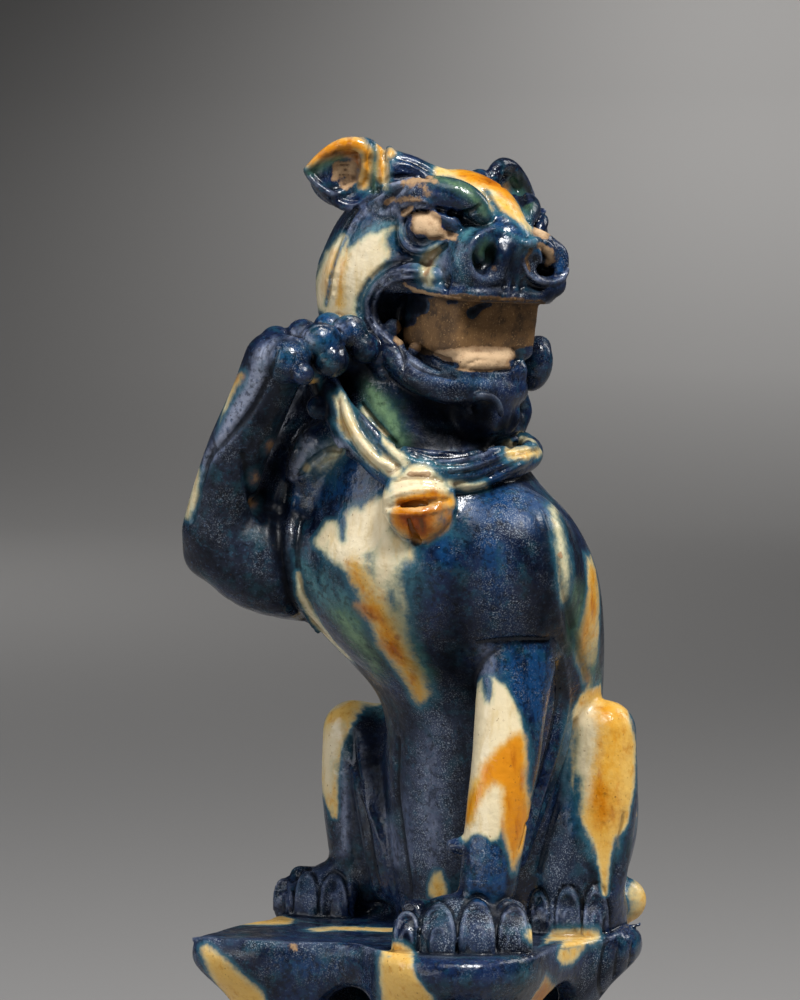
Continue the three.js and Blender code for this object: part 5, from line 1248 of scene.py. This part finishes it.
def patches(size, least, most, shift, detail=3.0, vector=where, rough=0.55):
    """Soft patches of noise: none under a level of the noise and full over another."""
    return node("MapRange", (grain(size, detail, vector, shift, rough), least, most), **EASED)


fine = node("Attribute", output=2, attribute_name="swell_fine")
broad = node("Attribute", output=2, attribute_name="swell_broad")
# Pale along ridges: partly the glaze thinning there, partly a painted highlight
ridge_pale_and_highlight = node("Math", (node("MapRange", (fine, 0.24, 0.52), **EASED), patches(5, 0.34, 0.58, 8.1, 4)), **TIMES)
crease = node("Math", (node("MapRange", (fine, -0.04, -0.25), **EASED),
                       node("MapRange", (broad, -0.3, -1.2), **EASED)), **LARGER)
wander = {size: node("Math", (grain(size, 4, shift=0.01 * size), -0.5), operation="ADD") for size in (0.7, 1.6, 4.5)}
drip = grain(5, 3, flow, 0.3)
sag = node("Math", (drip, -0.5), operation="ADD")


def ragged(name, wild=1.2, run=2.0):
    """Distance to a glaze's edge, roughened by noise of three sizes and drawn out downwards."""
    edge = node("Attribute", output=2, attribute_name=name)
    for offset, reach in ((wander[0.7], 0.5 * wild), (wander[1.6], wild), (wander[4.5], wild), (sag, run)):
        edge = node("Math", (offset, reach, edge), **SUM)
    return edge


def glaze(below, edge, soft, strength, rim, body, fleck, pattern):
    """One glaze over those below: from its rim to its body in 2 mm, mottled by a pattern."""
    cover = node("MapRange", (edge, soft, -soft, 0, strength), **EASED)
    tone = node("Mix", {0: node("MapRange", (edge, 0.3, -2.0), **EASED), 6: colour(rim), 7: colour(body)}, **COLOURS)
    tone = node("Mix", {0: node("MapRange", (pattern, 0.48, 0.72), **EASED), 6: tone, 7: colour(fleck)}, **COLOURS)
    return cover, node("Mix", {0: cover, 6: below, 7: tone}, **COLOURS)


def tinge(below, cover, strength, code):
    """A thin coat of one colour."""
    return node("Mix", {0: node("Math", (cover, strength), **TIMES), 6: below, 7: colour(code)}, **COLOURS)


# Blue ground: navy to cobalt in clouds, dull with fine pale crystals where it is worn
cloud = grain(14, 4, flow, 0.7)
mottle = grain(2.4, 4, shift=9.3, rough=0.65)
streak = grain(3, 4, flow, 2.1)
worn = node("MapRange", (ragged("frost"), 1.5, -1.5), **EASED)
frost = node("Math", (patches(0.38, 0.5, 0.72, 1.1, 2), node("Math", (patches(7, 0.44, 0.7, 1.3, 4), 0.6,
                                                              node("Math", (worn, patches(6, 0.35, 0.6, 2.3, 5, flow)), **TIMES)), **SUM)), **TIMES)
frost = node("Math", (frost, 1.0), operation="MINIMUM")
base = node("Mix", {0: node("MapRange", (cloud, 0.35, 0.7), **EASED), 6: colour("0a1124"), 7: colour("182a4e")}, **COLOURS)
dull = None
for name, soft, strength, run, rim, body, fleck, pattern in (
        ("cobalt", 2.0, 1.0, 3, "0e2442", "133a64", "0a1a32", streak),
        ("slate", 1.8, 0.85, 2, "151a26", "222836", "12161f", streak),
        ("teal", 1.8, 0.9, 3, "1f4b5e", "4f8086", "254f5c", drip),
        ("lavender", 1.3, 0.85, 1, "5f6984", "9ba2b6", "69718a", mottle)):
    cover, base = glaze(base, ragged(name, run=run), soft, strength, rim, body, fleck, pattern)
    dull = cover if name == "slate" else dull
lively = patches(11, 0.38, 0.6, 7.7, 3)
base = tinge(base, node("Math", (lively, node("MapRange", (mottle, 0.52, 0.7), **EASED)), **TIMES), 0.5, "22586c")
base = tinge(base, node("Math", (lively, node("MapRange", (mottle, 0.5, 0.32), **EASED)), **TIMES), 0.65, "070c18")
base = tinge(base, patches(6, 0.5, 0.68, 8.9, 4), 0.4, "1b4c58")
base = tinge(base, patches(0.9, 0.56, 0.72, 9.7, 3), 0.22, "5d7c9c")
base = tinge(base, patches(1.6, 0.5, 0.36, 10.3, 3), 0.6, "050914")
base = tinge(base, node("Math", (worn, patches(9, 0.4, 0.7, 5.9, 5, flow)), **TIMES), 0.4, "3d4d6a")
base = tinge(base, frost, 0.7, "a9b3bf")
# Painted highlight along the ridges, together with the glaze's real thinning there
base = tinge(base, ridge_pale_and_highlight, 0.38, "8a94ac")
base = tinge(base, crease, 0.8, "060a14")
# Black glaze: real pools, and painted shadow where it lies on the throat under the jaw, in the raised arm's hollow and
# between the nostrils
black_pools_and_shade, base = glaze(base, ragged("black", run=3), 3.0, 0.92, "080c16", "06080e", "0a0f1c", mottle)

# Straw, honey and amber glazes, teal where they bleed into the blue, with a few iron specks
edges = {name: ragged(name, run=run) for name, run in (("cream", 1.5), ("honey", 1.5), ("amber", 2), ("rust", 2))}
for edge, reach in ((edges["cream"], 2.6), (edges["amber"], 2.2), (edges["honey"], 2.0)):
    base = tinge(base, node("MapRange", (edge, reach, 0.4), **EASED), 0.5, "34687a")
light = None
for name, soft, rim, body, fleck, pattern in (
        ("cream", 0.9, "bcbc98", "ecdab2", "dcc492", streak), ("honey", 1.1, "dcc080", "e8ba60", "d49a3e", mottle),
        ("amber", 1.3, "dca02c", "d88600", "b86600", streak), ("rust", 1.7, "b86400", "8c3c00", "5a2600", mottle)):
    cover, base = glaze(base, edges[name], soft, 0.97, rim, body, fleck, pattern)
    light = cover if light is None else node("Math", (light, cover), **LARGER)
base = tinge(base, node("Math", (light, patches(1.0, 0.66, 0.74, 3.1, 2)), **TIMES), 0.55, "7a4716")
base = tinge(base, node("Math", (light, crease), **TIMES), 0.6, "6a4a22")
base = glaze(base, ragged("green", run=3), 2.2, 0.9, "40604c", "76966e", "2f4a2c", mottle)[1]

# Bare clay: buff and pinkish on the face, brown with kiln dirt inside the mouth
dirt = patches(0.5, 0.6, 0.72, 4.2)
brown, base = glaze(base, ragged("bisque", 1.0, 0.2), 0.3, 1.0, "64492c", "7a5a36", "402e1c", grain(5, 5, shift=4.8, rough=0.65))
base = tinge(base, node("Math", (brown, dirt), **TIMES), 0.5, "2c2118")
base = tinge(base, node("Math", (brown, patches(9, 0.45, 0.62, 2.9, 4)), **TIMES), 0.6, "3c2c1e")
base = tinge(base, node("Math", (brown, patches(0.6, 0.6, 0.7, 3.7, 2)), **TIMES), 0.6, "b08c5e")
base = tinge(base, node("Math", (brown, crease), **TIMES), 0.7, "1e150d")
bare, base = glaze(base, ragged("bare", 1.6, 0.4), 0.4, 1.0, "9c7c5a", "cbab85", "a88460", grain(3, 5, shift=4.4, rough=0.7))
base = tinge(base, node("Math", (bare, dirt), **TIMES), 0.5, "6f5a48")
base = tinge(base, node("Math", (bare, crease), **TIMES), 0.8, "5f4630")
dry = node("Math", (bare, brown), **LARGER)
# Pinholes where the glaze pulled back over gas bubbles
pits = node("TexVoronoi", {"Vector": where, "Scale": 1000 / 4.2, "Randomness": 1.0})
pits = node("Math", (node("MapRange", (pits, 0.07, 0.035), **EASED), patches(9, 0.45, 0.6, 5.3, 2)), **TIMES)
base = tinge(base, pits, 0.7, "3a2a1c")

relief = node("Math", (grain(8, 2, shift=6.9), 1.1, node("Math", (grain(2.6, 3, shift=6.1), 0.75), **TIMES)), **SUM)
relief = node("Math", (node("Math", (grain(0.45, 3, shift=6.5), dry), **TIMES), 0.22, relief), **SUM)
relief = node("Math", (pits, -0.25, relief), **SUM)
bump = node("Bump", {"Strength": 0.9, "Distance": 0.0004, "Height": relief})
gloss = node("MapRange", (grain(6, 3, shift=7.2), 0.35, 0.7, 0.13, 0.29), **EASED)
matt = node("Math", (node("Math", (worn, black_pools_and_shade), **LARGER), dull), **LARGER)
gloss = node("Math", (matt, 0.25, gloss), **SUM)
surface = node("BsdfPrincipled", {
    "Base Color": base, "Roughness": node("Mix", {0: dry, 2: gloss, 3: 0.72}), "IOR": 1.52, "Normal": bump,
    "Specular IOR Level": node("Math", (black_pools_and_shade, -0.14, node("Math", (matt, -0.2, 0.36), **SUM)), **SUM)})
end = tree.nodes.new("ShaderNodeOutputMaterial")
tree.links.new(surface, end.inputs["Surface"])
mesh.materials.clear()
mesh.materials.append(finish)
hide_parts("lion_on_plinth")
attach(lion, "root")

# ---- Floor, light and camera -------------------------------------------------------------------
def stage_camera():
    turn, rise = np.radians((VIEW_TURN, VIEW_RISE))
    right = np.array((np.cos(turn), np.sin(turn), 0))
    away = np.array((np.cos(rise) * np.sin(turn), -np.cos(rise) * np.cos(turn), np.sin(rise)))
    aim = np.array((-MIDDLE[0], -MIDDLE[1], 183.0)) / 1000 - 0.0043 * right
    data = bpy.data.cameras.new("camera")
    data.sensor_fit, data.sensor_height, data.lens = "VERTICAL", 36, 36 * 1.8 / 0.27
    data.clip_end = 20
    camera = bpy.data.objects.new("camera", data)
    bpy.context.collection.objects.link(camera)
    camera.location = aim + 1.8 * away
    camera.rotation_euler = (np.pi / 2 - rise, 0, turn)
    bpy.context.scene.camera = camera


stage_camera()
# A pale floor that sweeps up into a wall all round
SWEEP = [(0, 0), (1.4, 0), (2.4, 0), (3.2, 0.06), (3.8, 0.26), (4.3, 0.7), (4.6, 1.4), (4.7, 2.4), (4.7, 3.4)]
radius, height = np.array(SWEEP[1:]).T
round_turn = np.radians(np.arange(0, 360, 5))
ring = np.stack((radius[:, None] * np.cos(round_turn), radius[:, None] * np.sin(round_turn),
                 height[:, None] + 0 * round_turn), -1)
count = len(round_turn)
faces = [tuple(range(count))] + [
    (row * count + k, (row + 1) * count + k, (row + 1) * count + (k + 1) % count, row * count + (k + 1) % count)
    for row in range(len(radius) - 1) for k in range(count)]
sweep = bpy.data.meshes.new("floor")
sweep.from_pydata(ring.reshape(-1, 3).tolist(), [], faces)
sweep.polygons.foreach_set("use_smooth", [True] * len(faces))
floor = bpy.data.objects.new("floor", sweep)
bpy.context.collection.objects.link(floor)
paper = bpy.data.materials.new("pale_paper")
paper.use_nodes = True
paper.node_tree.nodes["Principled BSDF"].inputs["Base Color"].default_value = colour("918f8d")
paper.node_tree.nodes["Principled BSDF"].inputs["Roughness"].default_value = 0.9
sweep.materials.append(paper)


def lamp(name, azimuth, rise, reach, size, power, aim=(0, 0, 0.17), tint="ffffff"):
    """A soft box round the figure: azimuth 0 is in front of the chest and 90 at its left side."""
    a, e = np.radians((azimuth, rise))
    light = bpy.data.lights.new(name, "AREA")
    light.shape, light.size, light.size_y, light.energy = "RECTANGLE", size[0], size[1], power
    light.color = colour(tint)[:3]
    holder = bpy.data.objects.new(name, light)
    bpy.context.collection.objects.link(holder)
    way = Vector((np.sin(a) * np.cos(e), -np.cos(a) * np.cos(e), np.sin(e)))
    holder.location = Vector(aim) + reach * way
    holder.rotation_euler = way.to_track_quat("Z", "Y").to_euler()


lamp("key", 62, 56, 1.3, (0.25, 0.35), 19.5)
lamp("fill_left", -50, 22, 1.4, (0.7, 1.1), 7.2, tint="e4e9f4")
lamp("front", 15, 60, 1.5, (0.7, 0.7), 5.2)
lamp("rim", 145, 35, 1.4, (0.4, 0.8), 5.2)
lamp("low", -15, 10, 1.2, (0.7, 0.3), 1.8, aim=(0, 0, 0.03))
# Soft lamps over the floor behind the figure: metres behind it and to its right in the view, watts
turn = np.radians(VIEW_TURN)
for name, behind, right, power in (("far", 3.6, 0.3, 2.6), ("middle", 2.8, 0.3, 1.4), ("near", 1.9, -0.35, 1.6)):
    light = bpy.data.lights.new(name, "AREA")
    light.shape, light.size, light.size_y, light.energy, light.spread = "RECTANGLE", 0.4, 0.8, power, np.radians(120)
    holder = bpy.data.objects.new(name, light)
    bpy.context.collection.objects.link(holder)
    holder.location = (right * np.cos(turn) - behind * np.sin(turn), right * np.sin(turn) + behind * np.cos(turn), 0.8)
    holder.rotation_euler = (0, 0, turn)
    holder.visible_camera = False
world = bpy.data.worlds.new("world")
world.use_nodes = True
world.node_tree.nodes["Background"].inputs[0].default_value = (0.05, 0.052, 0.056, 1)
bpy.context.scene.world = world
bpy.context.scene.view_settings.view_transform = "Standard"
